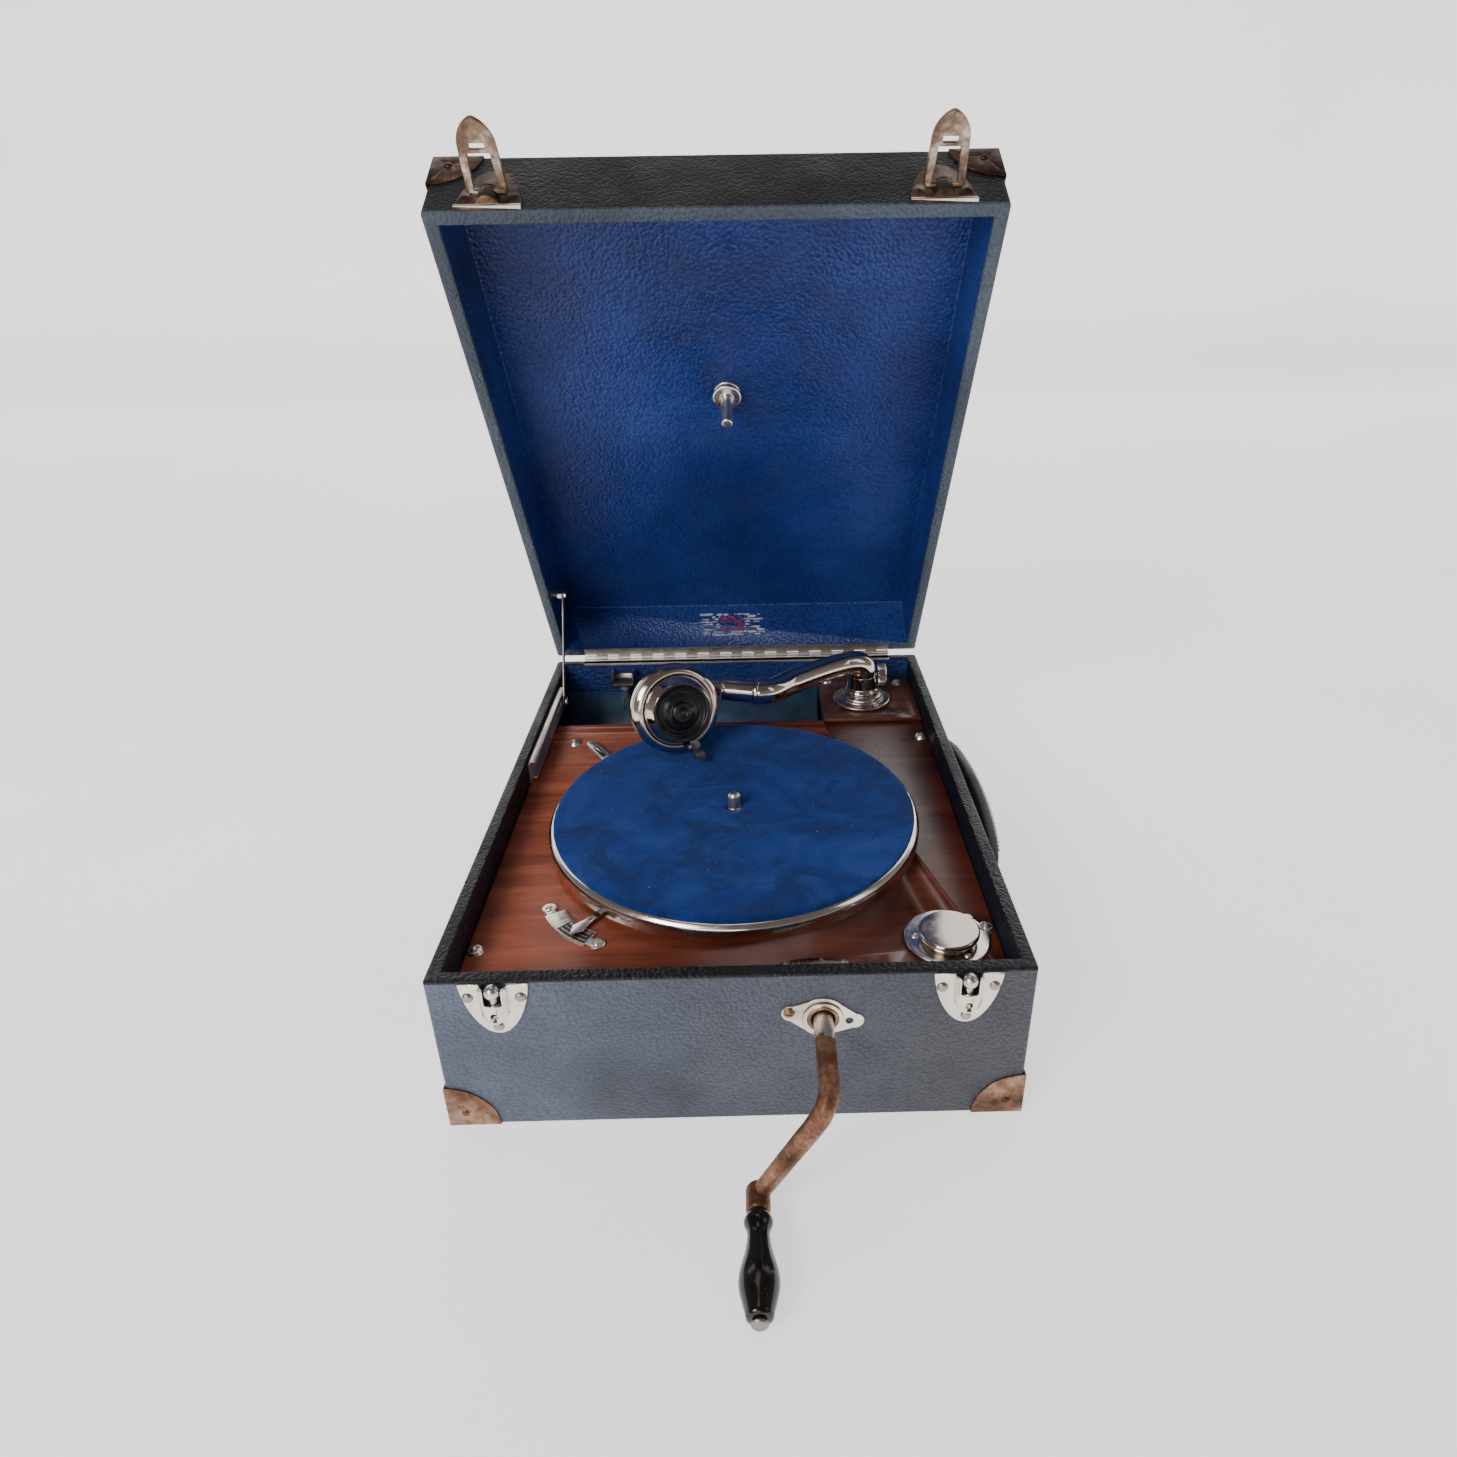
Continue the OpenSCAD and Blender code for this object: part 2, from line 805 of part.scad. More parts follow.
// Pointed-arch loop standing square off the lid front, with its slotted nose
module hasp(s) {
    color("peru")
        lid_frame_of()
            translate([s * latch_x, -hd - 3.6, lid_low + 10.4]) {
                hasp_loop();
                translate([-9, 0, 0])
                    rotate([0, 90, 0])
                        cylinder(h = 18, r = 1.6);
            }
}

// Flat outline of a hasp: straight legs, spread at the hinge, and a pointed arch
module arch() {
    polygon([[-10, 0], [-9.1, -21.6], [9.1, -21.6], [10, 0]]);
    intersection() {
        translate([-5.3, -21.6])
            circle(r = 14.4);
        translate([5.3, -21.6])
            circle(r = 14.4);
        translate([-10, -34.6])
            square([20, 14]);
    }
}

// Loop in the XY plane, hinge pin along X at the origin, nose towards -Y
module hasp_loop() {
    translate([0, 0, -1.1])
        linear_extrude(height = 2.2)
            difference() {
                arch();
                polygon([[-6.3, 1], [-5.3, -18.6], [5.3, -18.6], [6.3, 1]]);
                translate([-3.7, -23.2])
                    square([7.4, 3]);
            }
}

module hasp_left() {
    hasp(-1);
}

module hasp_right() {
    hasp(1);
}

// Nails through the corner protectors, two to a corner
module corner_nails(zf, dir) {
    for (sx = [-1, 1], sy = [-1, 1]) {
        translate([sx * (hw - 8.2), sy * (hd + 0.8), zf + dir * 8.2])
            rotate([-sy * 90, 0, 0])
                nail();
        translate([sx * (hw + 0.8), sy * (hd - 8.2), zf + dir * 8.2])
            rotate([0, sx * 90, 0])
                nail();
    }
}

module nail() {
    intersection() {
        translate([0, 0, -1.6])
            sphere(r = 2.6);
        cylinder(h = 3, r = 2.2);
    }
    translate([0, 0, -4.2])
        cylinder(h = 4.3, r = 0.8);
}

module base_nails() {
    corner_nails(0, 1);
}

module lid_nails() {
    color("gray")
        lid_frame_of()
            corner_nails(lid_top, -1);
}

// ---- carrying handle -----------------------------------------------------

handle_y = [-64, 74];
handle_z = 66;
handle_x = hw + 6;
handle_screws = [for (y = handle_y, s = [-1, 1]) [y, handle_z + s * 9.5]];

// Wall plate, outer ear and stud for each end of the handle
module handle_brackets() {
    color("gray")
        for (q = [[handle_y[0], -1], [handle_y[1], 1]])
            translate([0, q[0], handle_z])
                mirror([0, q[1] < 0 ? 0 : 1, 0])
                    difference() {
                        union() {
                            block([hw, -7.5, -13], [hw + 1.2, 7.5, 13]);
                            block([hw + 1, -7, -4], [handle_x, -5.2, 4]);
                            translate([handle_x, -7, 0])
                                rotate([-90, 0, 0])
                                    cylinder(h = 1.8, r = 4);
                            translate([handle_x, -6, 0])
                                rotate([-90, 0, 0])
                                    cylinder(h = 12, r = 1.5);
                        }
                        for (s = [-1, 1])
                            translate([hw - 1, 0, s * 9.5])
                                rotate([0, 90, 0])
                                    cylinder(h = 4, r = 1.25);
                    }
}

module handle_bracket_screws() {
    for (q = handle_screws)
        translate([hw + 1.2, q[0], q[1]])
            rotate([0, 90, 0])
                wood_screw(2.6, 6);
}

// Padded leather strap, bowed out for the fingers, bored for the end studs
module handle_strap() {
    y0 = handle_y[0] - 4.9;
    y1 = handle_y[1] + 4.9;
    n = 18;
    function bow(t, k) = pow(sin(180 * t), k);
    function along(t) = y0 + (y1 - y0) * t;
    function rim(f0, f1) = concat(
        [for (i = [0 : n]) [f0(i / n), along(i / n)]],
        [for (i = [n : -1 : 0]) [f1(i / n), along(i / n)]]);
    plan = rim(function(t) handle_x - 3.2 + 5.8 * bow(t, 0.6),
        function(t) handle_x + 3.2 + 8 * bow(t, 0.6));
    side = rim(function(t) -3.6 - 5.4 * bow(t, 0.35), function(t) 3.6 + 5.4 * bow(t, 0.35));
    color("saddlebrown")
        difference() {
            intersection() {
                translate([0, 0, handle_z - 20])
                    linear_extrude(height = 40)
                        polygon(plan);
                translate([hw - 10, 0, handle_z])
                    rotate([90, 0, 90])
                        linear_extrude(height = 60)
                            polygon([for (q = side) [q[1], q[0]]]);
            }
            for (q = [[y0, 1], [y1, -1]])
                translate([handle_x, q[0], handle_z])
                    rotate([-90 * q[1], 0, 0])
                        translate([0, 0, -1])
                            cylinder(h = 13, r = 1.57);
        }
}

// ---- crank ---------------------------------------------------------------

esc_holes = [[-16, 3.8], [12.6, -2.4]];

// Eared plate round the hole for the crank
module escutcheon() {
    color("silver")
        translate([crank_x, -hd, crank_z])
            rotate([90, 9.5, 0])
                difference() {
                    union() {
                        cylinder(h = 1, r = 11.4);
                        linear_extrude(height = 1)
                            polygon([[-15.6, 4.2], [-8.4, 8.2], [8.4, 8.2], [15.6, 4.2],
                                [15.6, -4.2], [8.4, -8.2], [-8.4, -8.2], [-15.6, -4.2]]);
                        for (s = [-1, 1])
                            translate([s * 15.4, 0, 0])
                                cylinder(h = 1, r = 4.4);
                        cylinder(h = 2.4, r = 9.4);
                    }
                    translate([0, 0, -1])
                        cylinder(h = 6, r = 6.4);
                    translate([0, 0, 1.2])
                        cylinder(h = 3, r = 7.6);
                    for (q = esc_holes)
                        rotate([0, 0, 9.5])
                            translate([q[0], q[1], -1])
                                cylinder(h = 4, r = q[0] > 0 ? 1.9 : 1.3);
                }
}

arm_dir = [sin(arm_turn), 0, -cos(arm_turn)];
crank_o = [crank_x, 0, crank_z];
grip_c = crank_o + crank_arm * arm_dir;

// Bent winding crank with its end eye and the riveted pin of the grip
module crank_rod() {
    out = [0, -1, 0];
    start = crank_o - out * (bend_y + 18);
    path = concat(
        [for (i = [0 : 10]) bezier([start, start + out * 14, crank_o - out * bend_y + arm_dir * 2,
            crank_o - out * bend_y + arm_dir * 18], i / 10)],
        [for (i = [1 : 4]) crank_o - out * bend_y + arm_dir * (18 + i * 10.3)]);
    color("sienna") {
        swept(path, [for (i = [0 : 14]) rod_r - max(0, i - 9) * 0.12]);
        translate([crank_x, start[1] - 0.5, crank_z])
            rotate([-90, 0, 0])
                cylinder(h = 0.5 - hd - 8 - start[1], r = rod_r);
        translate([grip_c[0], grip_start + 0.2, grip_c[2]])
            rotate([-90, 0, 0])
                cylinder(h = bend_y + 4.6 - grip_start, r = 5.6);
        translate([grip_c[0], grip_start + 0.3, grip_c[2]])
            rotate([90, 0, 0]) {
                cylinder(h = grip_len + 0.9, r = 2.5);
                translate([0, 0, grip_len + 0.8])
                    cylinder(h = 1.4, r = 3.8);
            }
    }
}

// Straight inner shaft with its pinion, into which the crank screws
module winding_shaft() {
    color("goldenrod")
        translate([crank_x, 0, crank_z])
            rotate([90, 0, 0]) {
                translate([0, 0, -barrel_p[1] + 10.6])
                    cylinder(h = hd + 8 + barrel_p[1] - 10.6, r = 3.3);
                translate([0, 0, -barrel_p[1] + 10.6])
                    linear_extrude(height = 2.9)
                        gear_face(12, 1, 90);
                translate([0, 0, -barrel_p[1] + 13.4])
                    cylinder(h = 10, r = 4.6);
            }
}

grip_start = bend_y - 9.4;

// Turned black grip, running free on its pin
module crank_grip() {
    prof = [for (i = [0 : 24])
        let (t = i / 24)
        let (r = 4.6 + 1.9 * exp(-pow((t - 0.09) / 0.07, 2)) + 4.2 * exp(-pow((t - 0.66) / 0.27, 2)))
        [t > 0.985 ? r - 1.2 : r, t * grip_len]];
    color("black")
        translate([grip_c[0], grip_start, grip_c[2]])
            rotate([90, 0, 0])
                rotate_extrude()
                    polygon(concat([[2.6, 0]], prof, [[2.6, grip_len]]));
}

// ---- spring motor --------------------------------------------------------

motor_lo = [-56, -124];
motor_hi = [103, -2];
pillar_pos = [[-46, -112], [-46, -8], [94, -8], [94, -114]];

// Plate that carries the motor under the board
module motor_bedplate() {
    color("gray")
        difference() {
            union() {
                block([motor_lo[0], motor_lo[1], plate_z], [motor_hi[0], motor_hi[1], plate_z + 2.5]);
                for (q = bolt_pos)
                    translate([q[0], q[1], plate_z + 2])
                        cylinder(h = board_low - plate_z - 2, r = 5.6);
                block([crank_x - 9, -121, plate_z + 2], [crank_x + 9, -115, crank_z + 2]);
            }
            translate([crank_x, -130, crank_z])
                rotate([-90, 0, 0])
                    cylinder(h = 20, r = 3.36);
            for (q = bolt_pos)
                translate([q[0], q[1], plate_z - 1])
                    cylinder(h = 30, r = 2.1);
            for (q = pillar_pos)
                translate([q[0], q[1], plate_z - 1])
                    cylinder(h = 5, r = 2.05);
            translate([spin_p[0], spin_p[1], plate_z - 1])
                cylinder(h = 5, r = shaft_r + 0.05);
            translate([barrel_p[0], barrel_p[1], plate_z - 1])
                cylinder(h = 5, r = 4.05);
            translate([inter_p[0], inter_p[1], plate_z - 1])
                cylinder(h = 5, r = 2.05);
            translate([regulator_p[0], regulator_p[1], plate_z - 1])
                cylinder(h = 5, r = 3.05);
            translate([pawl_p[0], pawl_p[1], plate_z - 1])
                cylinder(h = 5, r = 1.5);
            for (s = [-1, 1])
                translate([spin_p[0] + s * 40, spin_p[1] + 62, plate_z - 1])
                    cylinder(h = 5, r = 3);
        }
}

// Lower plate with its posts and the ears that carry the governor
module motor_lower_plate() {
    color("gray")
        difference() {
            union() {
                block([motor_lo[0], motor_lo[1], low_z], [motor_hi[0], motor_hi[1], low_z + 2]);
                for (q = pillar_pos)
                    translate([q[0], q[1], low_z + 1]) {
                        cylinder(h = plate_z - low_z - 1, r = 4);
                        cylinder(h = plate_z + 3.5 - low_z, r = 2);
                    }
                for (x = [gov_x[0] + 0.4, gov_x[1] - 3.4])
                    block([x, gov_y - 5, low_z + 1], [x + 3, gov_y + 5, gov_z + 5]);
            }
            translate([gov_x[0] - 1, gov_y, gov_z])
                rotate([0, 90, 0])
                    cylinder(h = gov_x[1] - gov_x[0] + 2, r = 1.65);
            for (p = [spin_p, barrel_p, inter_p])
                translate([p[0], p[1], low_z + 0.6])
                    cylinder(h = 5, r = p == barrel_p ? 4.05 : 2.05);
        }
}

// Bolts that hang the motor from the board
module motor_bolts() {
    for (q = bolt_pos)
        translate([q[0], q[1], 0]) {
            translate([0, 0, plate_z - 3])
                cylinder(h = board_z - plate_z + 3.1, r = 2);
            translate([0, 0, board_z])
                cylinder(h = 2, r = 4.5);
            translate([0, 0, plate_z - 3])
                cylinder(h = 3, r = 4.2, $fn = 6);
        }
}

// Drum that holds the spring, with the great gear round its top
module spring_barrel() {
    color("gray")
        translate([barrel_p[0], barrel_p[1], 14])
            difference() {
                union() {
                    cylinder(h = 29, r = barrel_r - 1);
                    translate([0, 0, 28])
                        linear_extrude(height = 3)
                            gear_face(great_n, 1, heading(barrel_p, inter_p));
                }
                translate([0, 0, 1.2])
                    cylinder(h = 27, r = barrel_r - 2.4);
                translate([0, 0, -1])
                    cylinder(h = 40, r = 4.05);
            }
}

// Coiled ribbon spring, hooked to the drum and to the arbor
module mainspring() {
    turns = 5;
    n = 90;
    function rad(i) = 10 + 22 * i / n;
    color("dimgray")
        translate([barrel_p[0], barrel_p[1], 16])
            linear_extrude(height = 24)
                polygon(concat(
                    [for (i = [0 : n]) let (a = 360 * turns * i / n) rad(i) * [cos(a), sin(a)]],
                    [for (i = [n : -1 : 0]) let (a = 360 * turns * i / n)
                        (rad(i) + 1) * [cos(a), sin(a)]]));
}

// Winding arbor: shaft, hook boss, ratchet wheel and crown gear
module winding_arbor() {
    color("silver")
        translate([barrel_p[0], barrel_p[1], 0]) {
            translate([0, 0, low_z + 0.7])
                cylinder(h = crank_z - 8 - low_z - 0.7, r = 4);
            translate([0, 0, 16])
                cylinder(h = 24, r = 8);
            translate([0, 0, 46.6])
                linear_extrude(height = 2.4)
                    polygon([for (i = [0 : 23], k = [0, 1])
                        (k == 0 ? 10.5 : 8.6) * [cos(i * 15 + k), sin(i * 15 + k)]]);
            translate([0, 0, plate_z + 2.8])
                cylinder(h = crank_z - 7.2 - plate_z - 2.8, r = 13.5);
            for (i = [0 : 23])
                rotate([0, 0, i * 15 + 7.5])
                    block([10.6, -0.5, crank_z - 8], [13.4, 0.5, crank_z - 5.3]);
        }
}

pawl_p = [barrel_p[0] - 20, barrel_p[1] - 6];

// Click that keeps the spring wound, beside the ratchet wheel
module ratchet_pawl() {
    color("silver")
        translate([pawl_p[0], pawl_p[1], 46.8]) {
            rotate([0, 0, 24])
                block([-1, -2, 0], [9.8, 2, 2]);
            cylinder(h = 2, r = 3.4);
            cylinder(h = 8, r = 1.45);
        }
}

module intermediate_gear() {
    color("goldenrod")
        translate([inter_p[0], inter_p[1], 0]) {
            translate([0, 0, low_z + 0.7])
                cylinder(h = plate_z + 2 - low_z, r = 2);
            translate([0, 0, 41.8])
                linear_extrude(height = 3.6)
                    gear_face(small_n, 1, heading(inter_p, barrel_p) + 180 / small_n);
            translate([0, 0, 48.2])
                linear_extrude(height = 2)
                    gear_face(wheel_n, 1, heading(inter_p, spin_p));
            translate([0, 0, 45.3])
                cylinder(h = 3, r = 4);
        }
}

// Spindle with its driven pinion and the worm wheel for the governor
module spindle() {
    color("silver")
        translate([spin_p[0], spin_p[1], 0]) {
            translate([0, 0, low_z + 0.7])
                cylinder(h = 16, r = 2);
            translate([0, 0, 22])
                cylinder(h = felt_z - 22.1, r = shaft_r);
            translate([0, 0, felt_z - 0.2])
                cylinder(h = 0.6, r = spindle_r - 0.4);
            translate([0, 0, felt_z + 0.3])
                cylinder(h = 99.7 - felt_z, r = spindle_r);
            translate([0, 0, 99.9])
                cylinder(h = 1.6, r1 = spindle_r, r2 = spindle_r - 1.3);
            translate([0, 0, 47.6])
                linear_extrude(height = 3.2)
                    gear_face(small_n, 1, heading(spin_p, inter_p) + 180 / small_n);
            translate([0, 0, 22.6])
                linear_extrude(height = 4)
                    gear_face(40, 0.8, 0);
            translate([0, 0, 55.8])
                cylinder(h = 24.2, r = 5);
        }
}

gov_y = spindle_y + 16.6 + 3.9;
gov_z = 24.6;
gov_x = [-46, 20];

// Governor: worm shaft, sliding disc, three weights on their springs
module governor() {
    color("silver")
        translate([gov_x[0], gov_y, gov_z])
            rotate([0, 90, 0]) {
                cylinder(h = gov_x[1] - gov_x[0], r = 1.6);
                translate([0, 0, 38])
                    cylinder(h = 16, r = 2.9);
                translate([0, 0, 5])
                    cylinder(h = 3, r = 4);
                translate([0, 0, 6])
                    cylinder(h = 1.4, r = 9);
                translate([0, 0, 29])
                    cylinder(h = 4, r = 4);
                for (i = [0 : 2])
                    rotate([0, 0, i * 120]) {
                        block([3.6, -2.2, 7.8], [4, 2.2, 29.4]);
                        block([3.8, -3.6, 14.6], [9.8, 3.6, 22]);
                    }
            }
}

// ---- turntable -----------------------------------------------------------

module platter() {
    z0 = 80;
    top = felt_z - 1.8;
    color("silver")
        translate([spin_p[0], spin_p[1], 0])
            rotate_extrude($fn = 128)
                polygon([[shaft_r + 0.06, z0], [12, z0], [14, top - 2.6],
                    [platter_r - 5, top - 2.6], [platter_r - 2.2, top - 5], [platter_r - 2.2, z0],
                    [platter_r - 1, z0], [platter_r - 0.6, top - 3], [platter_r - 1.4, top - 0.9],
                    [platter_r - 3, top - 0.1], [shaft_r + 0.06, top - 0.1]]);
}

module platter_felt() {
    color("mediumblue")
        translate([spin_p[0], spin_p[1], felt_z - 1.9])
            difference() {
                cylinder(h = 1.9, r = platter_r - 3.6, $fn = 128);
                translate([0, 0, -1])
                    cylinder(h = 4, r = shaft_r + 0.3);
            }
}

// ---- tone arm ------------------------------------------------------------

sleeve_dir = [cos(sleeve_yaw) * cos(sleeve_rise), sin(sleeve_yaw) * cos(sleeve_rise),
    sin(sleeve_rise)];
box_n = [cos(box_yaw) * cos(box_rise), sin(box_yaw) * cos(box_rise), sin(box_rise)];

module arm_flange() {
    color("silver")
        translate([arm_x, arm_y, arm_board_z])
            difference() {
                union() {
                    cylinder(h = 2.2, r = flange_r);
                    cylinder(h = 3.4, r = 16);
                    translate([0, 0, 3.3])
                        cylinder(h = 2.4, r1 = 15, r2 = 13.4);
                    translate([0, 0, 5.6])
                        cylinder(h = 2, r = 12.6);
                }
                translate([0, 0, -1])
                    cylinder(h = 20, r = 9.05);
                for (i = [0 : 2])
                    rotate([0, 0, 60 + i * 120])
                        translate([18.4, 0, -1])
                            cylinder(h = 5, r = 0.85);
            }
}

// Turning foot of the arm: bearing tube, bell and the boss for the thumb screw
module arm_column() {
    color("silver")
        translate([arm_x, arm_y, 0])
            difference() {
                union() {
                    translate([0, 0, arm_board_z - 5])
                        cylinder(h = 20, r = 9);
                    translate([0, 0, arm_board_z + 7.7])
                        cylinder(h = 3, r1 = 13, r2 = 11.2);
                    translate([0, 0, arm_board_z + 10.6])
                        cylinder(h = 10.4, r1 = 11.2, r2 = 10.2);
                }
                translate([0, 0, 60])
                    cylinder(h = 60, r = 7.6);
                translate([0, 5.8, knob_z])
                    rotate([0, 90, 0])
                        cylinder(h = 20, r = 1.55);
            }
}
knob_z = 95;

arm_path = concat(
    [[arm_x, arm_y, 98.6]],
    [for (i = [0 : 9]) bezier([[arm_x, arm_y, 99.8], [arm_x, arm_y, 107],
        [91, 131.6, 109.2], [80, 126.4, 109.6]], i / 9)],
    [for (i = [1 : 7]) bezier([[80, 126.4, 109.6], [70, 121.5, 110], [50, 101, 112.3],
        [38, 87, 113.8]], i / 7)],
    [for (i = [1 : 7]) bezier([[38, 87, 113.8], [30.2, 77.9, 114.8],
        ring_p - 11 * sleeve_dir, ring_p - 1 * sleeve_dir], i / 7)]);

// Curved tube of the arm and the socket ring in which the neck turns
module arm_tube() {
    n = len(arm_path);
    color("silver") {
        swept(arm_path, [for (i = [0 : n - 1]) i < 10 ? 10.2 - i * 0.16 : arm_r], 1.2);
        aimed(ring_p, sleeve_yaw, sleeve_rise)
            difference() {
                union() {
                    translate([0, 0, -8])
                        cylinder(h = 8, r = 7.6);
                    translate([0, 0, -1.1])
                        cylinder(h = 2.4, r = 9.2);
                }
                translate([0, 0, -9])
                    cylinder(h = 20, r = 5.55);
            }
    }
}

// Points its children along a direction given as yaw and rise
module aimed(p, yaw, rise) {
    translate(p)
        rotate([0, 90 - rise, yaw])
            children();
}

neck_path = let (a = ring_p + 50 * sleeve_dir, b = box_p - 13 * box_n)
    [for (i = [0 : 12]) bezier([a, a + 30 * sleeve_dir, b - 20 * box_n, b], i / 12)];

// Neck that turns in the socket: spigot, sleeve and elbow to the soundbox
module arm_neck() {
    color("silver") {
        aimed(ring_p, sleeve_yaw, sleeve_rise)
            difference() {
                union() {
                    translate([0, 0, -6])
                        cylinder(h = 8, r = 5.5);
                    translate([0, 0, 1.5])
                        cylinder(h = 20.5, r = 7.9);
                    translate([0, 0, 21.9])
                        cylinder(h = 1.6, r = 8.6);
                    translate([0, 0, 23.4])
                        cylinder(h = 26.8, r = 6.3);
                }
                translate([0, 0, -7])
                    cylinder(h = 56, r = 4.6);
            }
        swept(neck_path, [for (i = [0 : 12]) 6.3], 1.2);
    }
}

// Thumb screw that steadies the arm for carrying
module arm_knob() {
    color("silver")
        translate([arm_x + 11.7, arm_y + 5.8, knob_z])
            rotate([0, 90, 0]) {
                fluted(8.3, 6.7, 18, 0.9);
                translate([0, 0, -7.4])
                    cylinder(h = 8.4, r = 1.5);
            }
}

// ---- soundbox ------------------------------------------------------------

// Back shell of the soundbox, with its stub into the neck
module soundbox_shell() {
    color("silver")
        aimed(box_p, box_yaw, box_rise)
            difference() {
                union() {
                    translate([0, 0, -9])
                        cylinder(h = 5, r1 = 22, r2 = box_r - 2);
                    translate([0, 0, -4.2])
                        cylinder(h = 8.2, r = box_r);
                    translate([0, 0, 3.9])
                        cylinder(h = 3, r1 = box_r - 1, r2 = box_r - 5);
                    translate([0, 0, -14.5])
                        cylinder(h = 6.5, r = 5);
                }
                translate([0, 0, -6])
                    cylinder(h = 30, r = box_r - 6);
                translate([0, 0, -30])
                    cylinder(h = 40, r = 4);
            }
}

// Ribbed face with the raised hub in the middle
module soundbox_face() {
    color("black")
        aimed(box_p, box_yaw, box_rise) {
            difference() {
                union() {
                    translate([0, 0, 3])
                        cylinder(h = 4.4, r = box_r - 6.2);
                    translate([0, 0, 7.3])
                        cylinder(h = 7, r1 = box_r - 6.8, r2 = 19.2);
                    translate([0, 0, 14])
                        cylinder(h = 3, r = 7);
                }
                translate([0, 0, 11])
                    difference() {
                        cylinder(h = 10, r = 16.4);
                        translate([0, 0, -1])
                            cylinder(h = 20, r = 10.6);
                    }
                translate([0, 0, -1])
                    cylinder(h = 10, r = 14);
            }
        }
}

// Stylus lever below the face, with the needle socket at its end
module stylus_bar() {
    color("gray")
        aimed(box_p, box_yaw, box_rise)
            rotate([0, 0, 13]) {
                block([19, -2.4, 14.4], [25.5, 2.4, 17.4]);
                translate([24, 0, 12.6])
                    rotate([0, 90, 0])
                        cylinder(h = 9, r = 2.6);
                translate([24.2, -4, 12.6])
                    rotate([-90, 0, 0])
                        cylinder(h = 8, r = 2);
            }
}

// Small screw that pinches the needle
module needle_screw() {
    color("gray")
        aimed(box_p, box_yaw, box_rise)
            rotate([0, 0, 13])
                translate([29.6, 0, 15.3]) {
                    cylinder(h = 3.4, r = 1.1);
                    translate([0, 0, 3.2])
                        fluted(3.2, 2.6, 12, 0.4);
                }
}

// ---- board fittings ------------------------------------------------------

// Flat band between two radii about c, from angle a to angle b
module band(c, r1, r2, a, b) {
    difference() {
        intersection() {
            translate(c)
                circle(r = r2, $fn = 128);
            polygon([c, c + 90 * [cos(a), sin(a)], c + 90 * [cos(b), sin(b)]]);
        }
        translate(c)
            circle(r = r1, $fn = 128);
    }
}

// Curved speed plate with its two screw ears
module speed_plate() {
    c = [regulator_p[0], regulator_p[1]];
    color("silver")
        difference() {
            translate([0, 0, board_z])
                linear_extrude(height = 1.2)
                    union() {
                        band(c, 42.5, 54, 207, 244);
                        band(c, 47.4, 52.6, 201, 250);
                        for (q = plate_screws)
                            translate(q)
                                circle(r = 4);
                    }
            for (q = plate_screws)
                translate([q[0], q[1], board_z - 1])
                    cylinder(h = 4, r = 0.9);
        }
}

// Speed lever: spindle through the board with a pointer above
module speed_lever() {
    a = 233;
    color("silver")
        translate([regulator_p[0], regulator_p[1], 0]) {
            translate([0, 0, plate_z - 2])
                cylinder(h = board_z + 3.6 - plate_z + 2, r = 3);
            translate([0, 0, board_z + 2.4])
                cylinder(h = 1.2, r = 6);
            translate([0, 0, board_z + 2.4])
                rotate([0, 0, a])
                    linear_extrude(height = 1.2)
                        polygon([[0, -3.2], [40, -2], [47, -3.6], [52.5, 0], [47, 3.6], [40, 2],
                            [0, 3.2]]);
            translate([0, 0, plate_z - 3])
                cylinder(h = 1.2, r = 5);
        }
}

// Start and stop lever: thumb strip on one side, brake post on the other
module brake_lever() {
    color("white")
        translate([brake_p[0], brake_p[1], 0]) {
            translate([0, 0, board_low - 1])
                cylinder(h = board_z - board_low + 3.4, r = 2);
            translate([0, 0, board_z + 0.6])
                linear_extrude(height = 1.4) {
                    circle(r = 4.4);
                    rotate(124)
                        polygon([[0, -4], [26, -3.2], [28, -1.6], [28, 1.6], [26, 3.2], [0, 4]]);
                    rotate(-76)
                        polygon([[0, -3.4], [18, -3], [18, 3], [0, 3.4]]);
                }
            rotate([0, 0, -76])
                translate([16, 0, board_z + 1.9])
                    cylinder(h = 9, r = 2.5);
            translate([0, 0, board_low - 2])
                cylinder(h = 1.2, r = 4);
        }
}

// Sunk cup with a wide flange for spare needles
module needle_cup() {
    color("silver")
        translate([cup_p[0], cup_p[1], board_z])
            difference() {
                union() {
                    cylinder(h = 1, r = 22);
                    translate([0, 0, -14])
                        cylinder(h = 14.5, r = 12);
                    cylinder(h = 3.6, r = 13);
                }
                translate([0, 0, -13])
                    cylinder(h = 40, r = 11);
                for (q = cup_screws)
                    translate([q[0] - cup_p[0], q[1] - cup_p[1], -1])
                        cylinder(h = 4, r = 0.9);
                translate([cup_pivot[0] - cup_p[0], cup_pivot[1] - cup_p[1], -1])
                    cylinder(h = 4, r = 1.55);
                translate([board_screws[2][0] - cup_p[0], board_screws[2][1] - cup_p[1], -1])
                    cylinder(h = 4, r = 4.7);
            }
}

// Polished lid that swings aside on its pin
module cup_lid() {
    d = cup_lid_p - cup_pivot;
    color("silver")
        translate([cup_pivot[0], cup_pivot[1], board_z]) {
            translate([0, 0, -4])
                cylinder(h = 9.1, r = 1.5);
            translate([0, 0, 3.9])
                cylinder(h = 1.2, r = 3);
            translate([0, 0, 3.9])
                rotate([0, 0, atan2(d[1], d[0])])
                    block([0, -2.6, 0], [12, 2.6, 1.2]);
            translate([d[0], d[1], 3.9])
                cylinder(h = 2.4, r1 = 15, r2 = 15.4);
            translate([d[0], d[1], 6.2])
                cylinder(h = 0.7, r1 = 15.2, r2 = 14.4);
        }
}

clip_x = -89.5;
clip_z = 80;

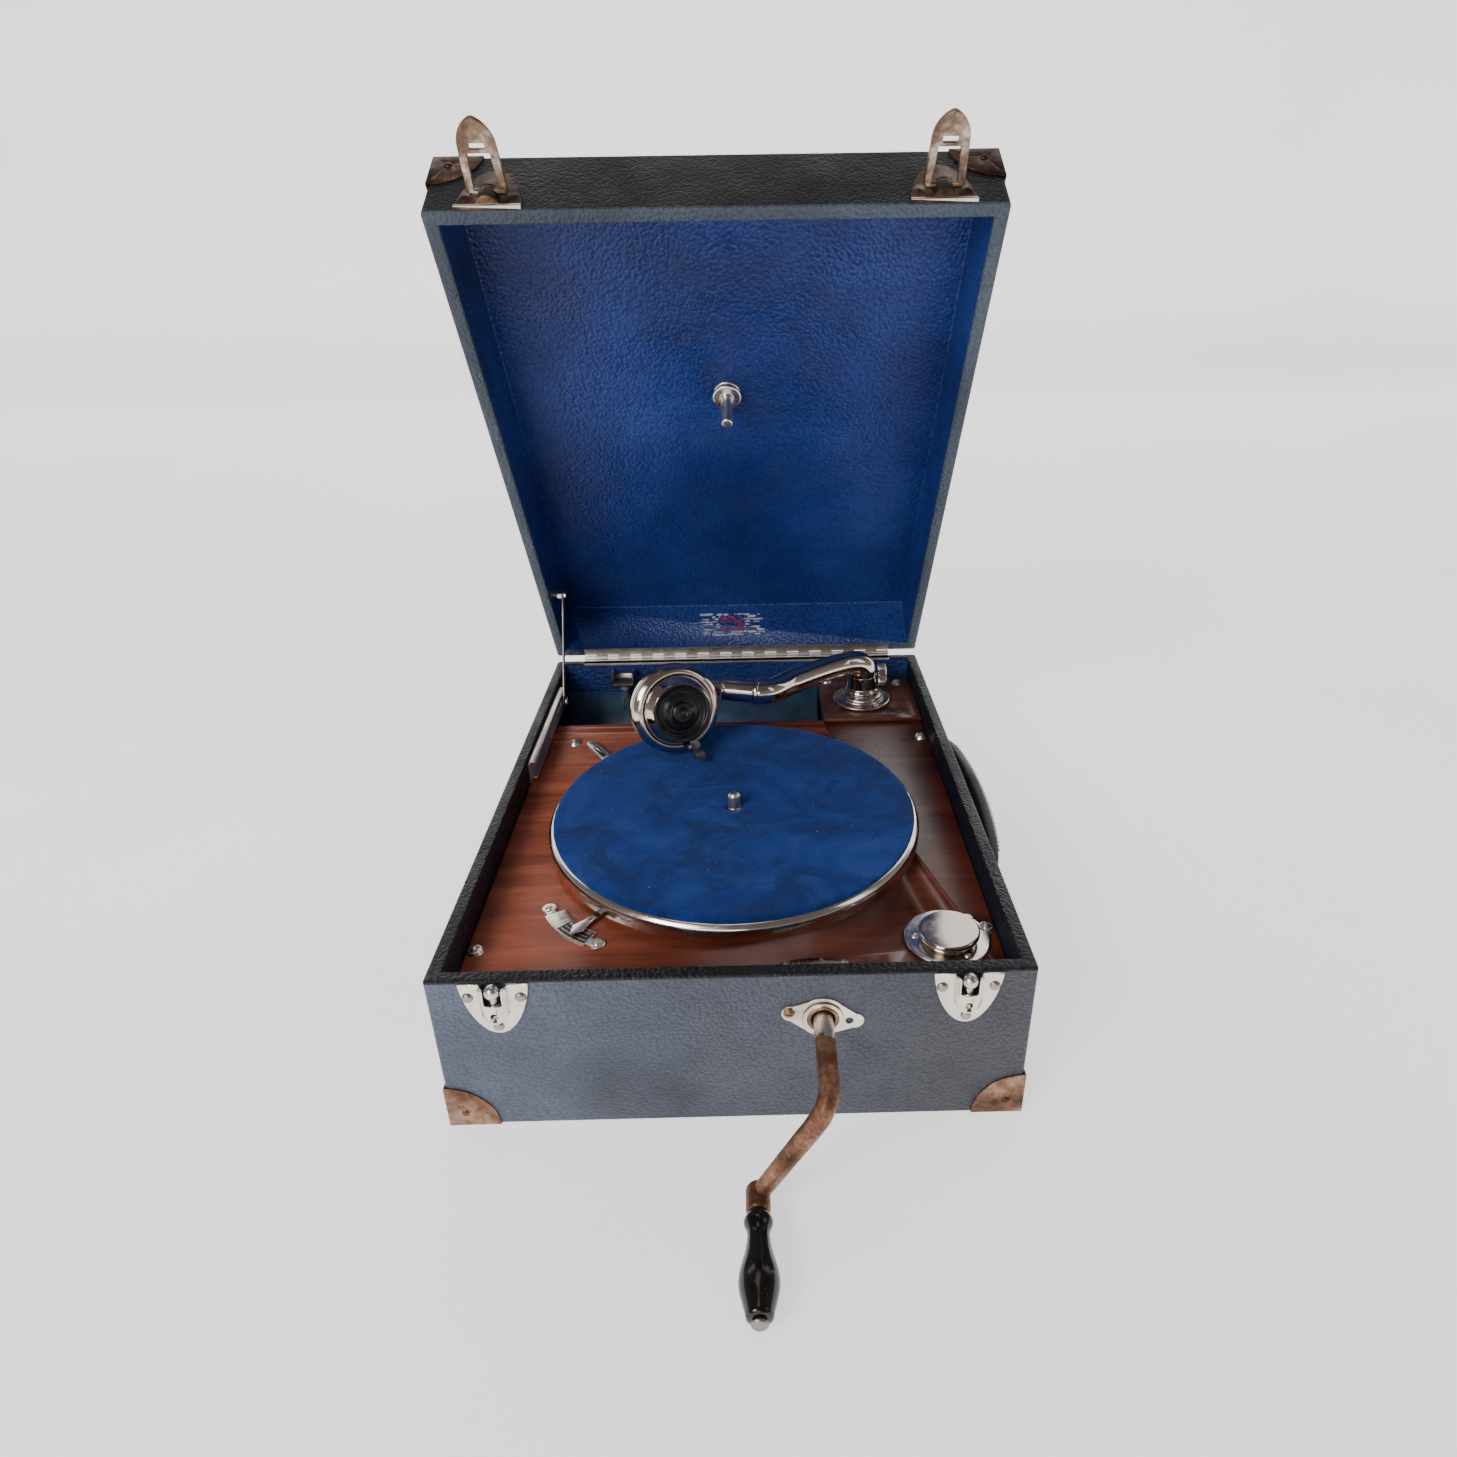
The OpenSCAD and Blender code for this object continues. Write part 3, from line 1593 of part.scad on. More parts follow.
// Spring fork on the back wall where the arm rests for travel
module rest_clip() {
    color("gray")
        translate([clip_x, in_y, clip_z])
            difference() {
                union() {
                    block([-7, -1.2, -9], [7, 0, 4]);
                    block([-8.6, -14, -1.5], [8.6, 0, 0]);
                    block([-8.6, -14, -1], [-7.4, -2, 9]);
                    block([7.4, -14, -1], [8.6, -2, 9]);
                }
                translate([0, -3, -6])
                    rotate([-90, 0, 0])
                        cylinder(h = 5, r = 0.95);
            }
}

// Worn cord binding that hangs from the clip
module clip_threads() {
    color("lightsteelblue")
        translate([clip_x + 1, in_y - 9, clip_z - 1.6])
            mirror([0, 0, 1])
                cylinder(h = 24, r1 = 3.6, r2 = 1.6);
}

// Which part to draw

base_case();
bottom_panel();
motor_board();
arm_board();
case_fasteners();
horn_reflector();
horn_throat();
shaft_cover();
lid_walls();
lid_panel();
record_post();
hinge_base_leaf();
hinge_lid_leaf();
hinge_pin();
stay_track();
stay_slider();
stay_rod();
stay_rivet();
base_corners();
lid_corners();
lid_nails();
lock_plates();
lock_button_left();
lock_button_right();
hasp_plates();
hasp_left();
hasp_right();
handle_strap();
handle_brackets();
escutcheon();
crank_rod();
crank_grip();
winding_shaft();
motor_bedplate();
motor_lower_plate();
spring_barrel();
mainspring();
winding_arbor();
ratchet_pawl();
intermediate_gear();
spindle();
governor();
platter();
platter_felt();
arm_flange();
arm_column();
arm_tube();
arm_neck();
arm_knob();
soundbox_shell();
soundbox_face();
stylus_bar();
needle_screw();
speed_plate();
speed_lever();
brake_lever();
needle_cup();
cup_lid();
rest_clip();
clip_threads();
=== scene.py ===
"""Looks of the wind-up phonograph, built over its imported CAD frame. Metres."""
import json
import math
import random

import bmesh
import bpy
from mathutils import Matrix, Vector, noise


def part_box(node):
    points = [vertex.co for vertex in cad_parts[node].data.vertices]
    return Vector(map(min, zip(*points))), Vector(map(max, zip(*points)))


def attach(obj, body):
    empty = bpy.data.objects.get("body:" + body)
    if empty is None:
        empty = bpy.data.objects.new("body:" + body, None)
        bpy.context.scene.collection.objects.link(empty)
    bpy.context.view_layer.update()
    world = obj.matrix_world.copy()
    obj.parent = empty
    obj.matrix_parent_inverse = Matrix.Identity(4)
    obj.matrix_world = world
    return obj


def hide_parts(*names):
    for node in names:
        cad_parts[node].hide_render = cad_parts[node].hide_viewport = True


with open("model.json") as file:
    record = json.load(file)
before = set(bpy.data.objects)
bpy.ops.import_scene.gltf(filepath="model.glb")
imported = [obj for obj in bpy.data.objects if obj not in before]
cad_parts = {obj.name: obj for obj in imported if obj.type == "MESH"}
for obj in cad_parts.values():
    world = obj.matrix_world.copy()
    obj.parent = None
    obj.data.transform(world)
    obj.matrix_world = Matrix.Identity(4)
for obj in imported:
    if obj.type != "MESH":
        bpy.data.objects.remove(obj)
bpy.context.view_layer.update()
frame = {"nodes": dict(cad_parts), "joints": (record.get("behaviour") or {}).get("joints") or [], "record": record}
NODES = frame["nodes"]
OWNER = {n: b for b, ns in frame["record"]["behaviour"]["bodies"].items() for n in ns}
scene = bpy.context.scene
RNG = random.Random(7)


X_AXIS, Y_AXIS, Z_AXIS = Matrix.Identity(3)
shift = Matrix.Translation


def mm(*v):
    return Vector(v) * 0.001


def middle(node):
    """Centre of a CAD node's box."""
    lo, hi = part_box(node)
    return (lo + hi) / 2


def joint_at(name):
    """A joint's place."""
    return next(Vector(j["pos_m"]) for j in frame["joints"] if j["name"] == name)


def heading(yaw, rise):
    """Unit vector from a yaw about Z and a rise above the level, in degrees."""
    a, b = math.radians(yaw), math.radians(rise)
    return Vector((math.cos(a) * math.cos(b), math.sin(a) * math.cos(b), math.sin(b)))


# ---- camera
def look(elev, yaw, roll):
    """Camera matrix for a view sloping down by elev, turned by yaw and rolled."""
    el, ya, ro = (math.radians(a) for a in (elev, yaw, roll))
    ahead = Vector((math.sin(ya) * math.cos(el), math.cos(ya) * math.cos(el), -math.sin(el)))
    right = Vector((math.cos(ya), -math.sin(ya), 0))
    up = right.cross(ahead)
    r = math.cos(ro) * right + math.sin(ro) * up
    u = -math.sin(ro) * right + math.cos(ro) * up
    return Matrix((r, u, -ahead)).transposed().to_4x4()


cam_data = bpy.data.cameras.new("camera")
cam = bpy.data.objects.new("camera", cam_data)
scene.collection.objects.link(cam)
scene.camera = cam
cam_data.sensor_width = 36
cam_data.sensor_fit = "HORIZONTAL"
cam_data.lens = 24.06
cam_data.shift_x = -0.0244
cam_data.shift_y = -0.0151
cam_data.clip_start = 0.02
cam.matrix_world = shift((0.0131, -0.5304, 0.4019)) @ look(26.374, 0.640, -0.9113)


# ---- materials
class Mat:
    """A procedural material: a principled shader and the small chains that feed it."""

    def __init__(self, name, metallic=0.0, rough=0.5, **inputs):
        self.m = bpy.data.materials.new(name)
        self.m.use_nodes = True
        self.t = self.m.node_tree
        self.b = self.t.nodes["Principled BSDF"]
        self.b.inputs["Metallic"].default_value = metallic
        self.b.inputs["Roughness"].default_value = rough
        for k, v in inputs.items():
            self.b.inputs[k.replace("_", " ")].default_value = v
        self.where = self.t.nodes.new("ShaderNodeTexCoord").outputs["Object"]
        self.height = None

    def new(self, kind, **inputs):
        n = self.t.nodes.new(kind)
        for k, v in inputs.items():
            s = n.inputs[k.replace("_", " ")]
            if isinstance(v, bpy.types.NodeSocket):
                self.t.links.new(v, s)
            else:
                s.default_value = v
        return n

    def at(self, scale=(1, 1, 1), turn=(0, 0, 0), wobble=0.0, wobble_scale=60):
        """Object coordinates, stretched, turned and distorted."""
        m = self.new("ShaderNodeMapping", Vector=self.where, Scale=scale, Rotation=turn)
        out = m.outputs[0]
        if wobble:
            n = self.new("ShaderNodeTexNoise", Vector=self.where, Scale=wobble_scale, Detail=3.0)
            s = self.new("ShaderNodeVectorMath", Vector=n.outputs["Color"])
            s.operation = "SCALE"
            s.inputs["Scale"].default_value = wobble
            a = self.t.nodes.new("ShaderNodeVectorMath")
            self.t.links.new(out, a.inputs[0])
            self.t.links.new(s.outputs[0], a.inputs[1])
            out = a.outputs[0]
        return out

    def noise(self, scale, detail=4.0, rough=0.55, at=None, distort=0.0):
        n = self.new("ShaderNodeTexNoise", Vector=at or self.where, Scale=scale, Detail=detail,
                     Roughness=rough, Distortion=distort)
        return n.outputs["Fac"]

    def cells(self, scale, at=None, feature="F1", smooth=0.6):
        n = self.t.nodes.new("ShaderNodeTexVoronoi")
        n.feature = feature
        self.t.links.new(at or self.where, n.inputs["Vector"])
        n.inputs["Scale"].default_value = scale
        if feature == "SMOOTH_F1":
            n.inputs["Smoothness"].default_value = smooth
        return n.outputs["Distance"]

    def ramp(self, fac, *stops):
        """Colour or grey ramp; stops are (position, colour or grey)."""
        n = self.new("ShaderNodeValToRGB", Fac=fac)
        e = n.color_ramp.elements
        while len(e) < len(stops):
            e.new(0.5)
        for el, (p, c) in zip(e, stops):
            el.position = p
            c = (c, c, c) if isinstance(c, (int, float)) else c
            el.color = (*c, 1)
        return n.outputs["Color"]

    def mix(self, fac, a, b, kind="MIX"):
        n = self.t.nodes.new("ShaderNodeMix")
        n.data_type = "RGBA"
        n.blend_type = kind
        for i, v in ((0, fac), (6, a), (7, b)):
            if isinstance(v, bpy.types.NodeSocket):
                self.t.links.new(v, n.inputs[i])
            elif i == 0:
                n.inputs[0].default_value = v
            else:
                n.inputs[i].default_value = (*v, 1)
        return n.outputs[2]

    def painted_light_across(self, base, left, right):
        """Multiplies by a colour that changes from left to right over the case: painted light and shade."""
        x = self.new("ShaderNodeSeparateXYZ", Vector=self.where).outputs["X"]
        place = self.math("ADD", self.times(x, 3.4), 0.5)
        return self.mix(1.0, base, self.ramp(place, (0.15, left), (0.85, right)), "MULTIPLY")

    def math(self, op, a, b=0.0):
        n = self.t.nodes.new("ShaderNodeMath")
        n.operation = op
        for i, v in ((0, a), (1, b)):
            if isinstance(v, bpy.types.NodeSocket):
                self.t.links.new(v, n.inputs[i])
            else:
                n.inputs[i].default_value = v
        return n.outputs[0]

    def times(self, a, b):
        return self.math("MULTIPLY", a, b)

    def colour(self, c):
        self.feed("Base Color", c)
        return self

    def feed(self, name, v):
        s = self.b.inputs[name]
        if isinstance(v, bpy.types.NodeSocket):
            self.t.links.new(v, s)
        else:
            s.default_value = (*v, 1) if isinstance(v, tuple) and len(v) == 3 else v
        return self

    def bump(self, h, depth, strength=1.0):
        """Adds a bump layer of that depth in metres over the ones before it."""
        n = self.new("ShaderNodeBump", Height=h, Distance=depth, Strength=strength)
        if self.height:
            self.t.links.new(self.height, n.inputs["Normal"])
        self.height = n.outputs[0]
        self.t.links.new(self.height, self.b.inputs["Normal"])
        return self


def srgb(r, g, b):
    return tuple(((c / 255 + 0.055) / 1.055) ** 2.4 if c > 10 else c / 255 / 12.92
                 for c in (r, g, b))


def leathercloth(name, low, mid, high, rough=0.5, wear=0.35, depth=0.00032, cell=560, painted_shade_right=None):
    """Pebbled coated cloth, softly faded, with rubbed grain tops; painted_shade_right, if given, adds painted
    light and shade from left to right.
    """
    m = Mat(name, rough=rough)
    p = m.at(wobble=0.0011, wobble_scale=260)
    grain = m.cells(cell, at=p, feature="SMOOTH_F1", smooth=0.5)
    fine = m.noise(2400, detail=3)
    fade = m.noise(7, detail=5, rough=0.6)
    base = m.ramp(fade, (0.33, low), (0.52, mid), (0.72, high))
    valley = m.ramp(grain, (0.25, 0.0), (0.75, 1.0))
    base = m.mix(m.times(valley, 0.5), base, low, "MIX")
    rub = m.ramp(m.noise(38, detail=8, rough=0.7), (0.56, 0.0), (0.74, 1.0))
    tops = m.ramp(grain, (0.0, 1.0), (0.32, 0.0))
    base = m.mix(m.times(m.times(rub, tops), wear), base,
                 tuple(min(1, c * 2.2 + 0.03) for c in high))
    # painted light and shade: colour lifted at the left of the case and darkened at the right
    m.colour(m.painted_light_across(base, (1.1, 1.1, 1.1), painted_shade_right) if painted_shade_right else base)
    m.feed("Roughness", m.ramp(m.noise(30, detail=4), (0.3, rough - 0.1), (0.75, rough + 0.12)))
    m.feed("Specular IOR Level", 0.42)
    m.bump(m.ramp(grain, (0.0, 1.0), (0.85, 0.0)), depth)
    m.bump(fine, 0.00003, 0.5)
    return m.m


def nickel(name, clean, dull, rough=0.12, tarnish=0.45, pit=0.4, pit_colour=(0.09, 0.06, 0.04)):
    """Plated metal with cloudy tarnish, brown freckles and hair scratches."""
    m = Mat(name, metallic=1.0, rough=rough)
    cloud = m.noise(42, detail=9, rough=0.65)
    patch = m.ramp(cloud, (0.45, 0.0), (0.72, 1.0))
    base = m.mix(m.times(patch, tarnish), clean, dull)
    freckle = m.ramp(m.noise(620, detail=6, rough=0.75), (0.62, 0.0), (0.7, 1.0))
    zone = m.ramp(m.noise(70, detail=4), (0.42, 0.0), (0.66, 1.0))
    spots = m.times(m.times(freckle, zone), pit)
    base = m.mix(spots, base, pit_colour)
    m.colour(base)
    hair = m.noise(180, detail=5, at=m.at(scale=(1, 14, 1), turn=(0.3, 0.2, 0.7)))
    r = m.math("ADD", m.times(patch, 0.2), m.times(hair, 0.12))
    m.feed("Roughness", m.math("ADD", m.math("ADD", r, rough - 0.05), m.times(spots, 0.5)))
    m.bump(m.noise(900, detail=4), 0.000012, 0.5)
    m.bump(spots, 0.00004, -0.6)
    return m.m


def wood(name, dark, mid, light):
    """Varnished mahogany: fine lines along X, slow figure and pores, with painted light, brighter to the left and
    darker to the right.
    """
    m = Mat(name, rough=0.33)
    p = m.at(scale=(0.09, 1, 1), wobble=0.004, wobble_scale=9)
    figure = m.noise(70, detail=6, rough=0.6, at=p, distort=0.6)
    lines = m.noise(420, detail=5, rough=0.7, at=m.at(scale=(0.045, 1, 1)))
    base = m.ramp(figure, (0.3, dark), (0.5, mid), (0.7, light))
    base = m.mix(m.times(m.ramp(lines, (0.5, 0.0), (0.7, 1.0)), 0.4), base, dark)
    blotch = m.ramp(m.noise(11, detail=4), (0.4, 0.0), (0.7, 1.0))
    base = m.mix(m.times(blotch, 0.35), base, tuple(c * 1.35 for c in light))
    specks = m.ramp(m.noise(900, detail=2), (0.72, 0.0), (0.76, 1.0))
    base = m.mix(m.times(specks, 0.25), base, (0.3, 0.2, 0.15))
    # painted light: brighter at the left of the board, darker at the right
    m.colour(m.painted_light_across(base, (1.9, 1.75, 1.7), (0.75, 0.62, 0.55)))
    m.feed("Roughness", m.ramp(m.noise(24, detail=6), (0.3, 0.24), (0.7, 0.42)))
    m.feed("Coat Weight", 0.35)
    m.feed("Coat Roughness", 0.18)
    m.bump(lines, 0.00005, 0.6)
    m.bump(m.noise(60, detail=3), 0.0001, 0.3)
    return m.m


def felt(name, dark, mid, light):
    """Napped wool with rubbed paths, dark blots and a few bright motes."""
    m = Mat(name, rough=0.95)
    nap = m.noise(1500, detail=6, rough=0.8)
    swirl = m.noise(16, detail=8, rough=0.62, distort=1.6)
    base = m.ramp(swirl, (0.3, dark), (0.48, mid), (0.7, light))
    blots = m.ramp(m.noise(26, detail=7, rough=0.66, distort=1.2), (0.38, 1.0), (0.52, 0.0))
    base = m.mix(m.times(blots, 0.75), base, tuple(c * 0.45 for c in dark))
    base = m.mix(m.times(m.ramp(nap, (0.35, 0.0), (0.8, 1.0)), 0.4), base,
                 tuple(c * 1.7 for c in light))
    motes = m.ramp(m.noise(560, detail=1), (0.8, 0.0), (0.815, 1.0))
    base = m.mix(m.times(motes, 0.8), base, (0.5, 0.52, 0.5))
    m.colour(base)
    m.feed("Sheen Weight", 0.35)
    m.feed("Sheen Roughness", 0.5)
    m.feed("Sheen Tint", (0.25, 0.4, 1.0))
    m.feed("Specular IOR Level", 0.15)
    m.bump(nap, 0.00025, 0.8)
    m.bump(m.noise(80, detail=4), 0.0003, 0.5)
    return m.m


def rusty(name):
    """Steel rod with worn bright ridges under brown rust."""
    m = Mat(name, metallic=0.8, rough=0.5)
    a = m.noise(95, detail=10, rough=0.7)
    fine = m.noise(700, detail=6, rough=0.75)
    base = m.ramp(a, (0.3, srgb(70, 44, 32)), (0.48, srgb(128, 88, 66)),
                  (0.64, srgb(170, 128, 102)), (0.8, srgb(206, 186, 166)))
    base = m.mix(m.times(m.ramp(fine, (0.45, 0.0), (0.7, 1.0)), 0.6), base,
                 srgb(66, 38, 26))
    m.colour(base)
    m.feed("Metallic", m.ramp(fine, (0.4, 0.95), (0.72, 0.2)))
    m.feed("Roughness", m.ramp(fine, (0.35, 0.3), (0.75, 0.75)))
    m.bump(fine, 0.00018, 0.8)
    return m.m


def copper(name, dark, mid, bright, rough=0.34):
    """Lacquered brass-copper stamping, browned and rubbed bright in spots."""
    m = Mat(name, metallic=0.92, rough=rough)
    a = m.noise(75, detail=9, rough=0.68)
    base = m.ramp(a, (0.32, dark), (0.5, mid), (0.68, bright))
    dots = m.ramp(m.noise(750, detail=4, rough=0.7), (0.6, 0.0), (0.7, 1.0))
    base = m.mix(m.times(dots, 0.55), base, tuple(c * 0.3 for c in dark))
    m.colour(base)
    m.feed("Roughness", m.ramp(a, (0.35, rough + 0.2), (0.7, rough - 0.06)))
    m.bump(m.noise(350, detail=5), 0.00005, 0.7)
    return m.m


def painted(name, base, other, rough=0.45, depth=0.00005, scale=40, metallic=0.0):
    """Plain finish with soft clouding, speckled dust and slight texture."""
    m = Mat(name, rough=rough, metallic=metallic)
    c = m.mix(m.ramp(m.noise(scale, detail=7, rough=0.6), (0.35, 0.0), (0.7, 1.0)), base, other)
    dust = m.ramp(m.noise(1100, detail=3), (0.68, 0.0), (0.74, 1.0))
    c = m.mix(m.times(dust, 0.18), c, (0.5, 0.48, 0.45))
    m.colour(c)
    m.feed("Roughness", m.ramp(m.noise(scale * 2, detail=5), (0.3, rough - 0.08),
                               (0.75, rough + 0.12)))
    m.bump(m.noise(700, detail=4), depth, 0.6)
    return m.m


def machined(name, base, other, rough=0.3):
    """Turned or rolled motor metal with an oily film."""
    m = Mat(name, metallic=0.95, rough=rough)
    c = m.mix(m.ramp(m.noise(55, detail=8, rough=0.65), (0.4, 0.0), (0.7, 1.0)), base, other)
    m.colour(c)
    grain = m.noise(300, detail=4, at=m.at(scale=(1, 6, 1)))
    m.feed("Roughness", m.ramp(grain, (0.3, rough - 0.08), (0.7, rough + 0.15)))
    m.bump(m.noise(500, detail=3), 0.00003, 0.5)
    return m.m


M = {
    # Case cloth with painted light: lighter at the left of the case, darker at the right.
    "cloth": leathercloth("cloth_outside", srgb(50, 56, 70), srgb(82, 91, 110),
                          srgb(104, 114, 132), depth=0.0006, painted_shade_right=(0.56, 0.48, 0.42)),
    # Base rim top: a near-black copy of the case cloth, painted shade.
    "cloth_rim_painted_shade": leathercloth("cloth_rim_painted_shade", srgb(8, 9, 12), srgb(13, 14, 18), srgb(22, 25, 32),
                              rough=0.5, wear=0.15, depth=0.0005),
    # Lid outside: a near-black copy of the case cloth, painted shade on its up-facing surfaces.
    "cloth_lid": leathercloth("cloth_lid", srgb(7, 8, 11), srgb(13, 14, 19), srgb(24, 27, 36),
                              rough=0.6, wear=0.15, depth=0.0005),
    "cloth_lid_rim": leathercloth("cloth_lid_rim", srgb(38, 45, 58), srgb(60, 70, 84),
                                  srgb(80, 92, 104), depth=0.0005),
    # Base side and front inner walls: a darker copy of the blue lining, painted shade.
    "lining_painted_shade": leathercloth("cloth_lining_painted_shade", srgb(6, 10, 22), srgb(10, 17, 38),
                               srgb(16, 27, 54), rough=0.5, wear=0.1, depth=0.0005),
    "lining": leathercloth("cloth_lining", srgb(14, 28, 72), srgb(27, 48, 116), srgb(44, 68, 140),
                           rough=0.42, wear=0.25, depth=0.0005, cell=480),
    "underside": painted("underside_cloth", srgb(16, 17, 22), srgb(30, 31, 36), rough=0.7,
                         depth=0.0002),
    "wood": wood("mahogany", srgb(60, 24, 15), srgb(104, 50, 34), srgb(142, 80, 58)),
    "wood_pale": wood("mahogany_block", srgb(66, 34, 26), srgb(98, 62, 50), srgb(128, 88, 74)),
    "nickel": nickel("nickel_plate", (0.82, 0.79, 0.75), (0.46, 0.37, 0.31)),
    # Arm, soundbox and cup lid nickel: darker and browner than the other nickel, a painted reflection of a dark
    # brown room over real tarnish.
    "nickel_arm": nickel("nickel_arm", (0.64, 0.56, 0.5), (0.42, 0.32, 0.26), rough=0.08,
                         tarnish=0.3, pit=0.25),
    "nickel_worn": nickel("nickel_worn", (0.86, 0.78, 0.69), (0.62, 0.5, 0.38), rough=0.27,
                          tarnish=0.6, pit=0.7),
    # Base hinge leaf: a brighter copy of the hinge nickel, painted highlight on its knuckles.
    "hinge": nickel("nickel_hinge_painted_highlight", (1.0, 0.98, 0.94), (0.74, 0.68, 0.6), rough=0.34, tarnish=0.4,
                    pit=0.6),
    # Lid hinge leaf: a darker copy of the hinge nickel, painted shade on its knuckles.
    "hinge_dull": nickel("hinge_dull", (0.62, 0.58, 0.54), (0.42, 0.37, 0.32), rough=0.4,
                         tarnish=0.7, pit=0.6),
    "nickel_flange": nickel("nickel_flange", (0.6, 0.52, 0.45), (0.42, 0.32, 0.25), rough=0.2),
    "rivet": nickel("rivet_heads", (0.38, 0.34, 0.3), (0.22, 0.18, 0.15), rough=0.3, tarnish=0.5),
    "satin": nickel("nickel_satin", (0.66, 0.63, 0.58), (0.48, 0.42, 0.36), rough=0.27, pit=0.3),
    "label": painted("worn_label", srgb(210, 208, 214), srgb(150, 150, 166), rough=0.5),
    "label_mark": painted("worn_label_mark", srgb(176, 44, 92), srgb(150, 60, 96), rough=0.5),
    "enamel": painted("black_enamel", (0.01, 0.01, 0.01), (0.03, 0.028, 0.025), rough=0.3),
    "copper": copper("copper_base", srgb(76, 52, 38), srgb(126, 94, 75), srgb(174, 144, 122)),
    "copper_ring": copper("copper_ring", srgb(96, 72, 52), srgb(142, 114, 88), srgb(186, 162, 134)),
    "copper_lid": copper("copper_lid", srgb(44, 28, 19), srgb(78, 54, 39), srgb(126, 98, 76)),
    "hasp": copper("hasp_metal", srgb(74, 54, 42), srgb(128, 104, 88), srgb(206, 194, 180),
                   rough=0.3),
    "rust": rusty("rusty_rod"),
    "steel": machined("dark_steel", (0.2, 0.19, 0.18), (0.34, 0.31, 0.28), rough=0.34),
    "white_metal": machined("white_metal", (0.7, 0.69, 0.66), (0.5, 0.47, 0.42), rough=0.3),
    "brass": machined("brass", (0.68, 0.5, 0.24), (0.45, 0.31, 0.14), rough=0.28),
    "spring": machined("blue_spring", (0.08, 0.1, 0.17), (0.16, 0.16, 0.2), rough=0.26),
    "cast": painted("cast_grey", (0.13, 0.13, 0.13), (0.2, 0.2, 0.19), metallic=0.5,
                    depth=0.0002),
    "horn": painted("horn_paint", srgb(44, 70, 98), srgb(64, 92, 120), rough=0.36),
    # Horn throat: a near-black copy of the horn's blue paint, painted shade.
    "horn_dark": painted("throat_painted_shade", srgb(16, 20, 26), srgb(28, 34, 40), rough=0.5),
    "felt": felt("blue_felt", srgb(9, 22, 78), srgb(22, 48, 124), srgb(42, 72, 144)),
    "grip": painted("black_grip", (0.004, 0.004, 0.004), (0.012, 0.009, 0.007), rough=0.16,
                    depth=0.00001),
    "face": painted("face_black", (0.006, 0.006, 0.007), (0.014, 0.013, 0.012), rough=0.26,
                    depth=0.00002),
    "leather": leathercloth("strap_leather", srgb(22, 16, 13), srgb(44, 31, 24), srgb(70, 50, 38),
                            rough=0.5, wear=0.3, depth=0.0002, cell=900),
    "stitch": painted("stitch_thread", srgb(120, 104, 82), srgb(90, 76, 60), rough=0.9),
    "thread": painted("frayed_cord", srgb(122, 128, 138), srgb(74, 84, 100), rough=0.95),
    # Painted shade: near-black set in holes and bores where there is only shade.
    "dark": painted("painted_shade_in_holes", (0.004, 0.004, 0.005), (0.008, 0.007, 0.007), rough=0.8),
}


# ---- mesh helpers
def add(name, bm, mats, body, node=None, sharp=None, outward=True):
    """Makes an object from bm, on that body, in place of the CAD node or nodes."""
    if outward:
        bmesh.ops.recalc_face_normals(bm, faces=bm.faces)
    for f in bm.faces:
        f.smooth = True
    if sharp:
        for e in bm.edges:
            if len(e.link_faces) == 2 and e.calc_face_angle(0) > math.radians(sharp):
                e.smooth = False
    me = bpy.data.meshes.new(name)
    bm.to_mesh(me)
    bm.free()
    for m in mats if isinstance(mats, (list, tuple)) else [mats]:
        me.materials.append(M[m])
    o = bpy.data.objects.new(name, me)
    scene.collection.objects.link(o)
    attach(o, body)
    if node:
        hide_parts(*([node] if isinstance(node, str) else node))
    return o


def fillet(prof, radius, steps=4):
    """A profile with rounded corners; radius is one number or one per point."""
    out = [Vector(prof[0])]
    for i in range(1, len(prof) - 1):
        a, b, c = (Vector(p) for p in prof[i - 1:i + 2])
        r = radius[i] if isinstance(radius, (list, tuple)) else radius
        u, v = a - b, c - b
        if r <= 0 or u.length < 1e-9 or v.length < 1e-9:
            out.append(b)
            continue
        k = min(r, u.length * 0.45, v.length * 0.45)
        p, q = b + u.normalized() * k, b + v.normalized() * k
        for j in range(steps + 1):
            t = j / steps
            out.append(p * (1 - t) ** 2 + b * 2 * t * (1 - t) + q * t * t)
    out.append(Vector(prof[-1]))
    return out


def frame_at(origin, axis, hint=Z_AXIS):
    """Matrix whose Z is axis, at origin."""
    z = axis.normalized()
    if abs(z.dot(hint)) > 0.99:
        hint = Y_AXIS
    x = hint.cross(z).normalized()
    return shift(origin) @ Matrix((x, z.cross(x), z)).transposed().to_4x4()


def turned(bm, prof, place, seg=128, wave=None, mat=0):
    """Adds a lathe shape from (radius, height) pairs in metres."""
    rings = []
    for r, h in prof:
        if r < 1e-7:
            rings.append([bm.verts.new(place @ Vector((0, 0, h)))])
            continue
        ring = []
        for k in range(seg):
            a = 2 * math.pi * k / seg
            rr = r + (wave(a, r, h) if wave else 0)
            ring.append(bm.verts.new(place @ Vector((rr * math.cos(a), rr * math.sin(a), h))))
        rings.append(ring)
    for a, b in zip(rings, rings[1:]):
        for k in range(max(len(a), len(b))):
            quad = [a[k % len(a)], a[(k + 1) % len(a)], b[(k + 1) % len(b)], b[k % len(b)]]
            quad = [v for i, v in enumerate(quad) if v not in quad[:i]]
            if len(quad) > 2:
                bm.faces.new(quad).material_index = mat
    return bm


